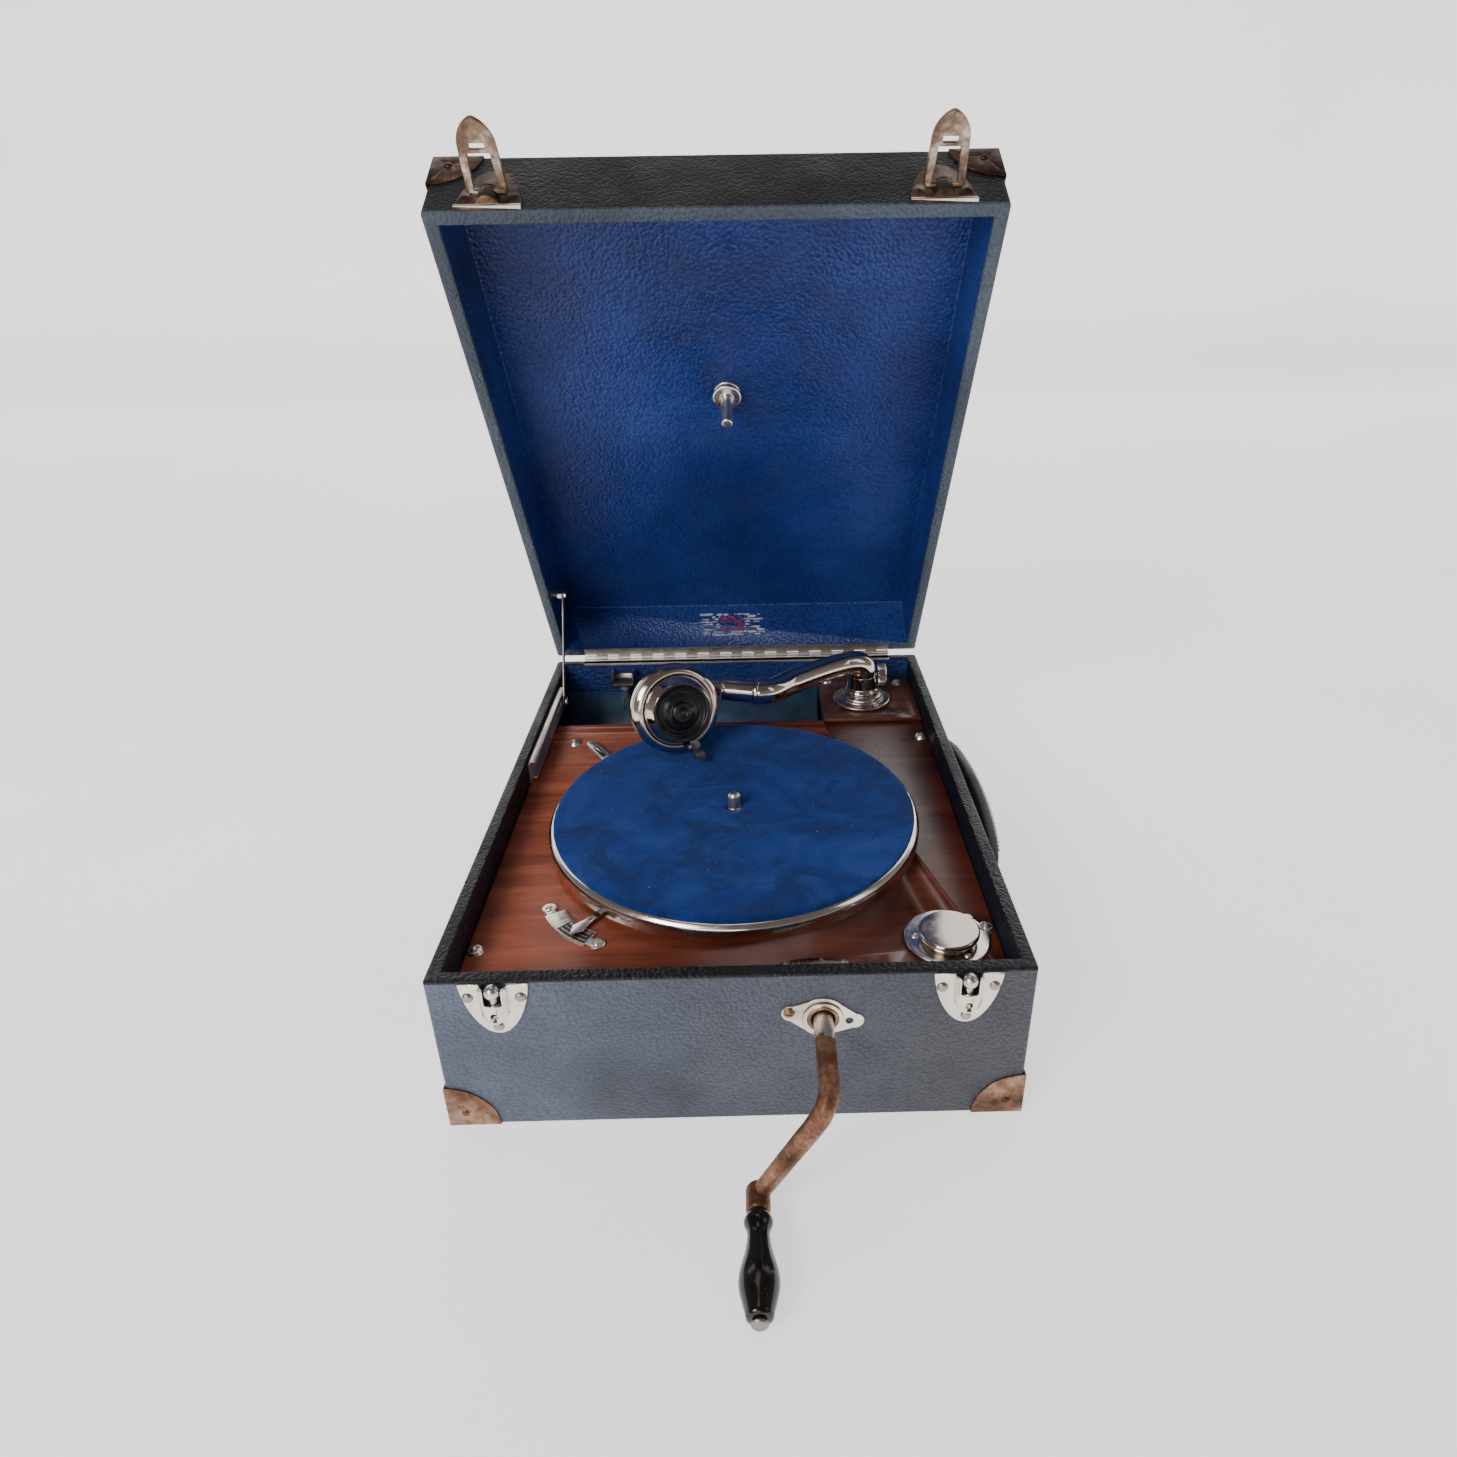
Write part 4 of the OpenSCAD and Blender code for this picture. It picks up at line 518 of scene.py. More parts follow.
def swept(bm, path, radius, sides=32, hint=Z_AXIS, mat=0, rough=0.0):
    """Adds a round section swept along path; radius(t) in metres."""
    n = len(path)
    normal = None
    rings = []
    for i, p in enumerate(path):
        t = (path[min(i + 1, n - 1)] - path[max(i - 1, 0)]).normalized()
        if normal is None:
            normal = t.cross(hint).normalized()
        normal = (normal - t * normal.dot(t)).normalized()
        other = t.cross(normal)
        r = radius(i / (n - 1))
        ring = []
        for k in range(sides):
            a = 2 * math.pi * k / sides
            d = normal * math.cos(a) + other * math.sin(a)
            q = p + d * r
            if rough:
                q += d * noise.noise(q * 420) * rough
            ring.append(bm.verts.new(q))
        rings.append(ring)
    for a, b in zip(rings, rings[1:]):
        for k in range(sides):
            bm.faces.new([a[k], a[(k + 1) % sides], b[(k + 1) % sides], b[k]]).material_index = mat
    for ring in (rings[0][::-1], rings[-1]):
        bm.faces.new(ring).material_index = mat


def spun(name, prof, radius, place, seg, mat, body, node, sharp=60, steps=3):
    """A whole piece from one filleted lathe profile."""
    add(name, turned(bmesh.new(), fillet(prof, radius, steps), place, seg), mat, body, node, sharp)


def curve(*p, n=24):
    """Points on a cubic Bezier."""
    out = []
    for i in range(n + 1):
        t = i / n
        out.append(p[0] * (1 - t) ** 3 + p[1] * 3 * t * (1 - t) ** 2
                   + p[2] * 3 * t * t * (1 - t) + p[3] * t ** 3)
    return out


def chain(*parts):
    out = list(parts[0])
    for p in parts[1:]:
        out += p[1:]
    return out


def block(bm, lo, hi):
    """Adds a plain block and gives its corners."""
    made = bmesh.ops.create_cube(bm, size=1)["verts"]
    for v in made:
        v.co = Vector(((lo[i] + hi[i]) / 2 + v.co[i] * (hi[i] - lo[i])) for i in range(3))
    return made


def slab(bm, lo, hi, r=0.0008, seg=3, place=Matrix.Identity(4)):
    """Adds a block with rounded edges."""
    made = block(bm, lo, hi)
    edges = list({e for v in made for e in v.link_edges})
    faces = {f for v in made for f in v.link_faces}
    out = bmesh.ops.bevel(bm, geom=edges, offset=r, segments=seg, profile=0.5, affect="EDGES",
                          clamp_overlap=True)
    faces |= set(out["faces"])
    for v in {v for f in faces if f.is_valid for v in f.verts}:
        v.co = place @ v.co


def tidy(node, mat, bevel=0.00025, sharp=36, seg=2, zone=None):
    """A CAD node's own shape with its edges broken, in a new mesh."""
    bm = bmesh.new()
    bm.from_mesh(NODES[node].data)
    bmesh.ops.remove_doubles(bm, verts=bm.verts, dist=3e-6)
    for f in bm.faces:
        if zone:
            f.material_index = zone(f.calc_center_median(), f.normal)
    o = add(node + "_made", bm, mat, OWNER[node], node, outward=False)
    b = o.modifiers.new("edges", "BEVEL")
    b.width = bevel
    b.segments = seg
    b.limit_method = "ANGLE"
    b.angle_limit = math.radians(sharp)
    b.harden_normals = True
    b.use_clamp_overlap = False
    return o


def paint(node, mat):
    """A CAD node kept as it is, with a better material."""
    me = NODES[node].data
    me.materials.clear()
    me.materials.append(M[mat])
    for p in me.polygons:
        p.material_index = 0


def cut(o, *boxes):
    """Cuts rounded tools out of o for good."""
    for tool in boxes:
        me = bpy.data.meshes.new("tool")
        tool.to_mesh(me)
        tool.free()
        t = bpy.data.objects.new("tool", me)
        scene.collection.objects.link(t)
        m = o.modifiers.new("cut", "BOOLEAN")
        m.operation = "DIFFERENCE"
        m.solver = "EXACT"
        m.use_self = True
        m.object = t
        bpy.context.view_layer.update()
        got = bpy.data.meshes.new_from_object(o.evaluated_get(
            bpy.context.evaluated_depsgraph_get()))
        o.modifiers.clear()
        o.data = got
        bpy.data.objects.remove(t)
        bpy.data.meshes.remove(me)
    return o


# ---- case shells
base_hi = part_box("base_case")[1]
hinge = middle("hinge_pin")
hinge.x = 0
LID_OPEN = math.radians(58.8)
LID = (shift(hinge) @ Matrix.Rotation(-LID_OPEN, 4, "X")
       @ shift(-hinge))
HW, HD, RIM = base_hi.x, base_hi.y, base_hi.z
WALL = 0.0073
LID_LOW = 2 * hinge.z - RIM
LID_TOP = LID_LOW + 0.048
PANEL = 0.005


def rounded(w, d, r, z, n=6):
    """Points of a rounded rectangle at height z, round corners of n steps."""
    out = []
    for cx, cy, a0 in ((1, 1, 0), (-1, 1, 90), (-1, -1, 180), (1, -1, 270)):
        for k in range(n + 1):
            a = math.radians(a0 + 90 * k / n)
            out.append(Vector((cx * (w - r) + r * math.cos(a), cy * (d - r) + r * math.sin(a), z)))
    return out


def shell(bm, rows, place, floor_first=False, floor_last=False):
    """Rings at (inset, height, material); optional closing faces."""
    rings = []
    for inset, z, mat in rows:
        r = max(0.0022 - inset * 0.25, 0.0006)
        rings.append(([bm.verts.new(place @ p)
                       for p in rounded(HW - inset, HD - inset, r, z)], mat))
    for (a, _), (b, mat) in zip(rings, rings[1:]):
        for k in range(len(a)):
            f = bm.faces.new([a[k], b[k], b[(k + 1) % len(a)], a[(k + 1) % len(a)]])
            f.material_index = mat
    for ring, do in ((rings[0], floor_first), (rings[-1], floor_last)):
        if do:
            bm.faces.new(ring[0]).material_index = ring[1]
    return bm


def rows(points, radius, mats):
    """Filleted (inset, z) polyline; mats gives each stretch's material."""
    out, before = [], None
    for p in fillet(points, radius, 4):
        m = p if before is None else (p + before) / 2
        out.append((p.x, p.y, mats(m.x, m.y)))
        before = p
    return out


# base: outside cloth, rim top in painted shade, lining inside with painted shade on all but the back wall
bm = bmesh.new()
pts = [(0.0042, 0.0048), (WALL, 0.0048), (WALL, RIM), (0, RIM), (0, 0), (0.0042, 0),
       (0.0042, 0.0048)]
shell(bm, rows(pts, [0, 0, 0.0012, 0.0014, 0.0012, 0, 0],
               lambda i, z: 1 if z > RIM - 0.0013 else (2 if i > WALL * 0.8 else 0)),
      Matrix.Identity(4))
bmesh.ops.remove_doubles(bm, verts=bm.verts, dist=1e-6)
# painted shade: the lining on all but the back wall takes the darker copy
for f in bm.faces:
    if f.material_index == 2 and f.calc_center_median().y < HD - 0.01:
        f.material_index = 3
base = add("case_base", bm, ["cloth", "cloth_rim_painted_shade", "lining", "lining_painted_shade"], "base", "base_case",
           sharp=50)

leaf_lo, leaf_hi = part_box("hinge_base_leaf")
shaft = middle("winding_shaft")
crank_x, crank_z = shaft.x, shaft.z


def box_tool(lo, hi):
    t = bmesh.new()
    block(t, lo, hi)
    return t


def rod_tool(p, axis, r, length):
    t = bmesh.new()
    turned(t, [(0, 0), (r, 0), (r, length), (0, length)], frame_at(p, axis), 48)
    bmesh.ops.recalc_face_normals(t, faces=t.faces)
    return t


tools = [rod_tool(Vector((crank_x, -HD - 0.003, crank_z)), Y_AXIS, 0.0056, 0.014),
         box_tool((leaf_lo.x - 0.0003, HD - WALL - 0.002, leaf_hi.z - 0.0013),
                  (leaf_hi.x + 0.0003, HD + 0.003, RIM + 0.01))]
lock_x = []
for side in ("left", "right"):
    lock_x.append(middle("lock_button_" + side).x)
    tools.append(box_tool((lock_x[-1] - 0.0055, -HD - 0.002, RIM - 0.026),
                          (lock_x[-1] + 0.0055, -HD + 0.003, RIM - 0.0014)))
cut(base, *tools)

# lid: one shell, rim down when shut, lining inside, outside cloth in painted shade
bm = bmesh.new()
inner = LID_TOP - PANEL
pts = [(0.06, inner), (WALL, inner), (WALL, LID_LOW), (0, LID_LOW), (0, LID_TOP), (0.06, LID_TOP)]


def lid_mat(i, z):
    if z < LID_LOW + 0.0013:
        return 1
    return 2 if (i > WALL * 0.8 and z < inner + 0.001) else 0


shell(bm, rows(pts, [0, 0.0014, 0.0012, 0.0014, 0.0016, 0], lid_mat), LID, True, True)
lid = add("case_lid", bm, ["cloth_lid", "cloth_lid_rim", "lining"], "lid",
          ["lid_walls", "lid_panel"], sharp=50)
tool = box_tool((leaf_lo.x - 0.0003, HD - WALL - 0.002, LID_LOW - 0.01),
                (leaf_hi.x + 0.0003, HD + 0.003, LID_LOW + 0.0013))
tool.transform(LID)
cut(lid, tool)

# ---- boards
mb_lo, mb_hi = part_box("motor_board")
ab_lo, ab_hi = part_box("arm_board")
top = mb_hi.z - 0.0009
bm = bmesh.new()
slab(bm, mb_lo, (mb_hi.x, mb_hi.y, top), 0.0006)
for y0, y1 in ((mb_hi.y - 0.013, mb_hi.y - 0.0095), (mb_hi.y - 0.004, mb_hi.y)):
    slab(bm, (mb_lo.x, y0, top - 0.001), (ab_lo.x - 0.0003, y1, mb_hi.z), 0.0007)
board = add("motor_board_wood", bm, "wood", "base", "motor_board", sharp=50, outward=False)
cover_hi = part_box("shaft_cover")[1]
cup_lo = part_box("needle_cup")[0]
cup_c = middle("needle_cup")
cut(board, box_tool((crank_x - 0.011, mb_lo.y - 0.002, mb_lo.z - 0.002),
                    (crank_x + 0.011, cover_hi.y - 0.003, mb_hi.z + 0.002)),
    rod_tool(Vector((cup_c.x, cup_c.y, mb_lo.z - 0.002)), Z_AXIS, 0.0122, 0.02))

bm = bmesh.new()
slab(bm, (ab_lo.x, ab_lo.y, top + 0.00025), ab_hi, 0.0007)
slab(bm, (ab_lo.x, ab_lo.y + 0.0036, ab_lo.z), (ab_hi.x, ab_hi.y, top + 0.0001), 0.0004)
board2 = add("arm_board_wood", bm, "wood_pale", "base", "arm_board", sharp=50, outward=False)
col_lo, col_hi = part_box("arm_column")
pivot = middle("arm_flange")
cut(board2, rod_tool(Vector((pivot.x, pivot.y, ab_lo.z - 0.002)), Z_AXIS, 0.0092, 0.03))

# ---- turntable
pl_lo, pl_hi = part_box("platter")
PR = (pl_hi.x - pl_lo.x) / 2
spin = middle("platter")
spin.z = 0
z0, z1 = pl_lo.z, pl_hi.z
prof = [(0.0043, z0), (0.012, z0), (0.014, z1 - 0.0026), (PR - 0.0055, z1 - 0.0026),
        (PR - 0.0019, z1 - 0.005), (PR - 0.0017, z0 + 0.0004), (PR - 0.0009, z0),
        (PR - 0.0002, z0 + 0.0006), (PR, z1 - 0.0046), (PR - 0.0004, z1 - 0.0022),
        (PR - 0.0022, z1 - 0.0004), (PR - 0.0034, z1), (0.0043, z1)]
spun("turntable_platter", prof, [0, 0.0005, 0.001, 0.002, 0.001, 0.0002, 0.0003, 0.0004, 0.0012,
                                 0.001, 0.0008, 0.0006, 0],
     shift(spin), 256, "nickel", "turntable", "platter", steps=5)

ft_lo, ft_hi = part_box("platter_felt")
FR = (ft_hi.x - ft_lo.x) / 2
bm = bmesh.new()
prof = [(0.0046, ft_lo.z), (0.0046, ft_hi.z - 0.0002)]
prof += [(0.0046 + (FR - 0.0058) * i / 40, ft_hi.z) for i in range(1, 41)]
prof += [(FR - 0.0006, ft_hi.z - 0.0003), (FR, ft_hi.z - 0.0011), (FR - 0.0001, ft_lo.z)]
turned(bm, prof, shift(spin), 256)
for v in bm.verts:
    if v.co.z > ft_lo.z + 0.0006:
        v.co.z += 0.00014 * noise.noise(v.co * 55) + 0.00007 * noise.noise(v.co * 400)
        if (v.co - spin).xy.length > FR - 0.001:
            v.co += (v.co - spin).normalized() * 0.00035 * noise.noise(v.co * 260)
add("turntable_felt", bm, "felt", "turntable", "platter_felt")

# ---- tone arm
AX, AY = pivot.x, pivot.y
P = Vector((AX, AY, 0))
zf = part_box("arm_flange")[0].z
prof = [(0.0091, zf), (0.0216, zf), (0.0218, zf + 0.0012), (0.0208, zf + 0.0021),
        (0.0166, zf + 0.0022), (0.016, zf + 0.0034), (0.015, zf + 0.0035), (0.0147, zf + 0.0048),
        (0.0133, zf + 0.0057), (0.0126, zf + 0.0059), (0.0126, zf + 0.0074),
        (0.0118, zf + 0.0076), (0.0091, zf + 0.0076)]
spun("arm_flange_turned", prof, 0.0006, shift(P), 160, "nickel_flange", "base", "arm_flange")

prof = [(0.0076, col_lo.z), (0.009, col_lo.z), (0.009, zf + 0.0079), (0.0126, zf + 0.0079),
        (0.013, zf + 0.0086), (0.0124, zf + 0.0098), (0.0114, zf + 0.0108), (0.0112, zf + 0.0112),
        (0.0105, zf + 0.0165), (0.0102, col_hi.z), (0.0076, col_hi.z)]
spun("arm_column_turned", prof, 0.0006, shift(P), 128, "nickel_arm", "arm", "arm_column")

SLEEVE = heading(173, 3.7)
RING = mm(14.8, 61.9, 119.6)
FACE = heading(-66.1, 12.1)
BOX = mm(-38.1, 32.8, 122.9)
bend = mm(80, 126.4, 109.6)
waist = mm(38, 87, 113.8)
path = chain(
    curve(Vector((AX, AY, 0.0982)), Vector((AX, AY, 0.107)), mm(91, 131.6, 109.2), bend, n=36),
    curve(bend, mm(70, 121.5, 110), mm(50, 101, 112.3), waist, n=30),
    curve(waist, mm(30.2, 77.9, 114.8), RING - SLEEVE * 0.011, RING - SLEEVE * 0.001, n=30))
bm = bmesh.new()
swept(bm, path, lambda t: 0.0102 - min(t, 0.38) / 0.38 * 0.0016, 64, hint=X_AXIS)
turned(bm, fillet([(0.0056, -0.002), (0.0084, -0.0019), (0.0092, -0.0011), (0.0093, 0.0002),
                   (0.009, 0.0012), (0.0084, 0.0014), (0.0056, 0.0014)], 0.0004, 3),
       frame_at(RING, SLEEVE), 96)
add("arm_tube_drawn", bm, "nickel_arm", "arm", "arm_tube", sharp=60)

bm = bmesh.new()
prof = [(0.0046, -0.006), (0.0055, -0.006), (0.0055, 0.0016), (0.0076, 0.0016), (0.0079, 0.0024),
        (0.0079, 0.0212), (0.0077, 0.0219), (0.0084, 0.0221), (0.0087, 0.0227),
        (0.0084, 0.0233), (0.0075, 0.0235), (0.0066, 0.0238), (0.0063, 0.0246), (0.0063, 0.0502)]
turned(bm, fillet(prof, 0.0004, 3), frame_at(RING, SLEEVE), 96)
a, b = RING + SLEEVE * 0.05, BOX - FACE * 0.013
swept(bm, curve(a, a + SLEEVE * 0.03, b - FACE * 0.02, b, n=44), lambda t: 0.0063, 64,
      hint=Z_AXIS)
add("arm_neck_drawn", bm, "nickel_arm", "soundbox", "arm_neck", sharp=60)

# thumb screw on the column
kn_lo, kn_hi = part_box("arm_knob")
kc = middle("arm_knob")
bm = bmesh.new()
kr = (kn_hi.z - kn_lo.z) / 2
prof = fillet([(0.0015, -0.006), (0.0015, 0), (kr - 0.0008, 0), (kr, 0.0008), (kr, 0.0059),
               (kr - 0.0008, 0.0067), (kr - 0.003, 0.0067), (kr - 0.0034, 0.0062), (0, 0.006)],
              0.0004, 3)
turned(bm, prof, frame_at(Vector((kn_hi.x - 0.0067, kc.y, kc.z)), X_AXIS), 180,
       wave=lambda a, r, h: -0.0007 * (0.5 - 0.5 * math.cos(a * 30)) if r > kr - 0.0009 else 0)
add("arm_knob_knurled", bm, "nickel", "thumb_screw", "arm_knob", sharp=50)

# ---- soundbox
BR = 0.029
S = frame_at(BOX, FACE)
prof = [(0.004, -0.0145), (0.005, -0.0145), (0.005, -0.0092), (0.0205, -0.009), (0.0245, -0.0078),
        (0.0262, -0.0052), (0.0274, -0.0046), (0.0284, -0.0042), (BR, -0.0034), (BR, 0.0008),
        (0.0286, 0.0014), (0.0286, 0.0019), (BR, 0.0024), (BR, 0.0036), (0.0281, 0.0046),
        (0.0262, 0.0064), (0.0247, 0.0069), (0.0236, 0.0068), (0.023, 0.006), (0.0229, 0.001)]
spun("soundbox_shell_spun", prof, 0.0006, S, 192, "nickel_arm", "soundbox", "soundbox_shell", 70, 4)

bm = bmesh.new()
cone = [(0.0226, 0.003), (0.0226, 0.0071), (0.0223, 0.0076), (0.0221, 0.008), (0.0219, 0.0086),
        (0.0196, 0.0136), (0.0189, 0.0143)]
turned(bm, fillet(cone, 0.0003, 3), S, 160, mat=1)
face = [(0.0189, 0.0143), (0.0175, 0.0142), (0.0166, 0.0138), (0.0163, 0.0122), (0.0151, 0.0117),
        (0.0146, 0.0127), (0.0139, 0.0127), (0.0134, 0.0117), (0.0123, 0.0117), (0.0118, 0.0127),
        (0.0111, 0.0129), (0.0105, 0.0138), (0.0086, 0.0141), (0.0071, 0.0145), (0.0067, 0.0162),
        (0.0056, 0.0169), (0.003, 0.0166), (0.0024, 0.0161), (0.0012, 0.0163), (0, 0.0163)]
turned(bm, fillet(face, 0.0003, 3), S, 160, mat=0)
add("soundbox_face_pressed", bm, ["face", "nickel_arm"], "soundbox", "soundbox_face", sharp=70)
tidy("stylus_bar", "steel", 0.0004)
tidy("needle_screw", "steel", 0.0002)

# ---- lid post
post_place = LID @ shift((0, spin.y, inner)) @ Matrix.Rotation(math.pi, 4, "X")
prof = [(0, -0.002), (0.002, -0.002), (0.002, 0), (0.0084, 0), (0.0084, 0.0012), (0.0078, 0.0018),
        (0.0061, 0.002), (0.006, 0.0038), (0.0078, 0.004), (0.0088, 0.0043), (0.0091, 0.0049),
        (0.009, 0.0058), (0.0082, 0.0063), (0.0044, 0.0066), (0.0038, 0.0074), (0.0037, 0.0158),
        (0.0036, 0.0166), (0.0035, 0.0169), (0.0035, 0.0292), (0.0028, 0.0298), (0, 0.03)]
spun("record_post_turned", prof, 0.0004, post_place, 96, "satin", "lid", "record_post")

# ---- crank
grip_lo, grip_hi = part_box("crank_grip")
gc = middle("crank_grip")
TURN = math.radians(-30.2)
down = Vector((math.sin(TURN), 0, -math.cos(TURN)))
out = -Y_AXIS
bend_y = -HD - 0.052
corner = Vector((crank_x, bend_y, crank_z))
start = corner - out * 0.018
bm = bmesh.new()
path = chain([Vector((crank_x, -HD - 0.0002 - 0.0021 * i, crank_z)) for i in range(16)],
             curve(start, start + out * 0.014, corner + down * 0.002, corner + down * 0.018, n=24),
             [corner + down * (0.018 + 0.0103 * i / 2) for i in range(9)])


def rod_r(t):
    return 0.0047 - max(0, t - 0.75) * 0.0022


swept(bm, path, rod_r, 40, hint=X_AXIS, rough=0.00025)
for f in bm.faces:
    c = f.calc_center_median()
    f.material_index = 1 if c.y > -HD - 0.016 - 0.004 * noise.noise(c * 300) else 0
eye = frame_at(Vector((gc.x, grip_hi.y + 0.0002, gc.z)), Y_AXIS)
turned(bm, fillet([(0, 0), (0.0046, 0), (0.0056, 0.0012), (0.0056, 0.0118), (0.0046, 0.0136),
                   (0, 0.014)], 0.0008, 3), eye, 64)
turned(bm, fillet([(0.0025, 0), (0.0025, -0.0479), (0.0036, -0.0479), (0.0038, -0.0484),
                   (0.0032, -0.0492), (0, -0.0494)], 0.0004, 3),
       frame_at(Vector((gc.x, grip_hi.y, gc.z)), Y_AXIS), 48, mat=2)
add("crank_rod_forged", bm, ["rust", "nickel_worn", "steel"], "crank", "crank_rod", sharp=60)

GL = grip_hi.y - grip_lo.y
prof = [(0.0026, 0), (0.0044, 0)]
for i in range(1, 40):
    t = i / 40
    prof.append((0.0046 + 0.0019 * math.exp(-((t - 0.09) / 0.07) ** 2)
                 + 0.0042 * math.exp(-((t - 0.66) / 0.27) ** 2), t * GL))
prof += [(prof[-1][0] - 0.0012, GL - 0.0004), (0.0026, GL)]
bm = turned(bmesh.new(), prof, frame_at(Vector((gc.x, grip_hi.y, gc.z)), -Y_AXIS), 96)
add("crank_grip_turned", bm, "grip", "grip", "crank_grip", sharp=60)

# ---- handle
st_lo, st_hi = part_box("handle_strap")
hz = (st_lo.z + st_hi.z) / 2
hx = HW + 0.006
bm = bmesh.new()
n = 60
rings = []
for i in range(n + 1):
    t = i / n
    s = math.sin(math.pi * min(max(t, 0.001), 0.999))
    y = st_lo.y + (st_hi.y - st_lo.y) * t
    x_in = hx - 0.0032 + 0.0058 * s ** 0.6
    x_out = hx + 0.0032 + 0.008 * s ** 0.6
    half = 0.0036 + 0.0054 * s ** 0.35
    ring = []
    for k in range(36):
        a = 2 * math.pi * k / 36
        ca, sa = math.cos(a), math.sin(a)
        x = (x_in + x_out) / 2 + (x_out - x_in) / 2 * math.copysign(abs(ca) ** 0.72, ca)
        z = hz + half * math.copysign(abs(sa) ** 0.6, sa)
        ring.append(bm.verts.new((x, y, z)))
    rings.append(ring)
for a, b in zip(rings, rings[1:]):
    for k in range(36):
        bm.faces.new([a[k], a[(k + 1) % 36], b[(k + 1) % 36], b[k]])
bm.faces.new(rings[0])
bm.faces.new(rings[-1])
for side in (-1, 1):
    for i in range(34):
        t = 0.07 + 0.86 * i / 33
        s = math.sin(math.pi * t)
        y = st_lo.y + (st_hi.y - st_lo.y) * t
        half = (0.0036 + 0.0054 * s ** 0.35) * 0.72
        x = hx + 0.0032 + 0.008 * s ** 0.6 - 0.0001
        p = Vector((x, y, hz + side * half))
        swept(bm, [p + Vector((-0.0003, -0.0011, 0)), p + Vector((0.0001, -0.0007, 0)),
                   p + Vector((0.0002, 0, 0)), p + Vector((0.0001, 0.0007, 0)),
                   p + Vector((-0.0003, 0.0011, 0))], lambda t: 0.00032, 8, mat=1)
add("handle_strap_leather", bm, ["leather", "stitch"], "handle", "handle_strap",
              sharp=60)

# ---- frayed cord on the clip
th_lo, th_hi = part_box("clip_threads")
tc = middle("clip_threads")
bm = bmesh.new()
for i in range(46):
    a, r = RNG.uniform(0, 6.28), RNG.uniform(0, 0.0026)
    p = Vector((tc.x + r * math.cos(a), tc.y + r * math.sin(a), th_hi.z - RNG.uniform(0, 0.001)))
    reach = RNG.uniform(0.55, 0.97) * (th_hi.z - th_lo.z)
    spread = Vector((RNG.uniform(-1, 1), RNG.uniform(-1, 1), 0)) * 0.003
    q = p + Vector((0, 0, -reach)) + spread
    swept(bm, curve(p, p + Vector((0, 0, -reach * 0.4)), q + Vector((RNG.uniform(-2, 2) * 0.001,
                                                                     0, reach * 0.25)), q, n=10),
          lambda t: 0.00032 * (1 - 0.5 * t), 6)
swept(bm, [Vector((tc.x + 0.0034 * math.cos(k * 0.5), tc.y + 0.0034 * math.sin(k * 0.5),
                   th_hi.z - 0.0006 - 0.00007 * k)) for k in range(50)], lambda t: 0.0005, 8)
add("clip_cord_frayed", bm, "thread", "base", "clip_threads", outward=False)

# ---- fittings
for node, mat, width in (
        ("base_corners", "copper", 0.0003), ("lid_corners", "copper_lid", 0.0003),
        ("hasp_left", "hasp", 0.0003), ("hasp_right", "hasp", 0.0003),
        ("shaft_cover", "nickel", 0.0002),
        ("speed_plate", "nickel_worn", 0.0002), ("speed_lever", "nickel_worn", 0.0002),
        ("brake_lever", "white_metal", 0.0002), ("stay_rod", "steel", 0.0002),
        ("stay_track", "nickel_worn", 0.0002), ("stay_slider", "nickel", 0.0003),
        ("rest_clip", "steel", 0.0003), ("handle_brackets", "nickel_worn", 0.0003)):
    tidy(node, mat, width)
for node, mat in (
        ("bottom_panel", "underside"),
        # horn throat in painted shade
        ("horn_reflector", "horn"), ("horn_throat", "horn_dark"), ("hinge_base_leaf", "hinge"),
        # hinge leaves: painted highlight on the base leaf, painted shade on the lid leaf
        ("hinge_lid_leaf", "hinge_dull"), ("hinge_pin", "steel"), ("stay_rivet", "nickel"),
        ("lid_nails", "copper_lid"), ("lock_button_left", "satin"),
        ("lock_button_right", "satin"), ("winding_shaft", "brass"), ("motor_bedplate", "cast"),
        ("motor_lower_plate", "cast"), ("spring_barrel", "white_metal"), ("mainspring", "spring"),
        ("winding_arbor", "steel"), ("ratchet_pawl", "steel"), ("intermediate_gear", "brass"),
        ("spindle", "nickel_worn"), ("governor", "brass")):
    paint(node, mat)


RIVETS = ((-0.0122, 0.0833), (0.0122, 0.0833), (0, 0.0658))
HUMP_BORE = 0.0036
lp_lo_y = -HD - 0.0009


def rivets(c, n):
    """Rivet heads on the lock plates."""
    for x in lock_x:
        for dx, z in RIVETS:
            if math.hypot(c.x - x - dx, c.z - z) < 0.0027 and c.y < -HD - 0.00095:
                return 1
    return 0


me = NODES["case_fasteners"].data
me.materials.clear()
for name in ("nickel_worn", "copper_lid", "copper_ring"):
    me.materials.append(M[name])
for p in me.polygons:
    if p.center.y < -HD and abs(p.center.x - crank_x) < 0.03:
        p.material_index = 2
    else:
        p.material_index = 1 if p.center.z < 0.05 and abs(p.center.y) > HD - 0.03 else 0

UNLID = LID.inverted()


def flange(c, n):
    """Bright lower edge of the hasp plates, and painted shade in the bore of each hump."""
    q = UNLID @ c
    if q.z < LID_LOW + 0.0025 and q.y < -HD - 0.0008:
        return 1
    off = min(abs(q.x - x) for x in lock_x)
    # painted shade: near-black in the bore of each hump
    if off < HUMP_BORE and LID_LOW + 0.003 < q.z < LID_LOW + 0.0082 and q.y > -HD - 0.008:
        return 2
    return 0


tidy("lock_plates", ["nickel_worn", "rivet"], 0.0002, zone=rivets)
tidy("hasp_plates", ["copper_lid", "nickel_worn", "dark"], 0.0002, zone=flange)

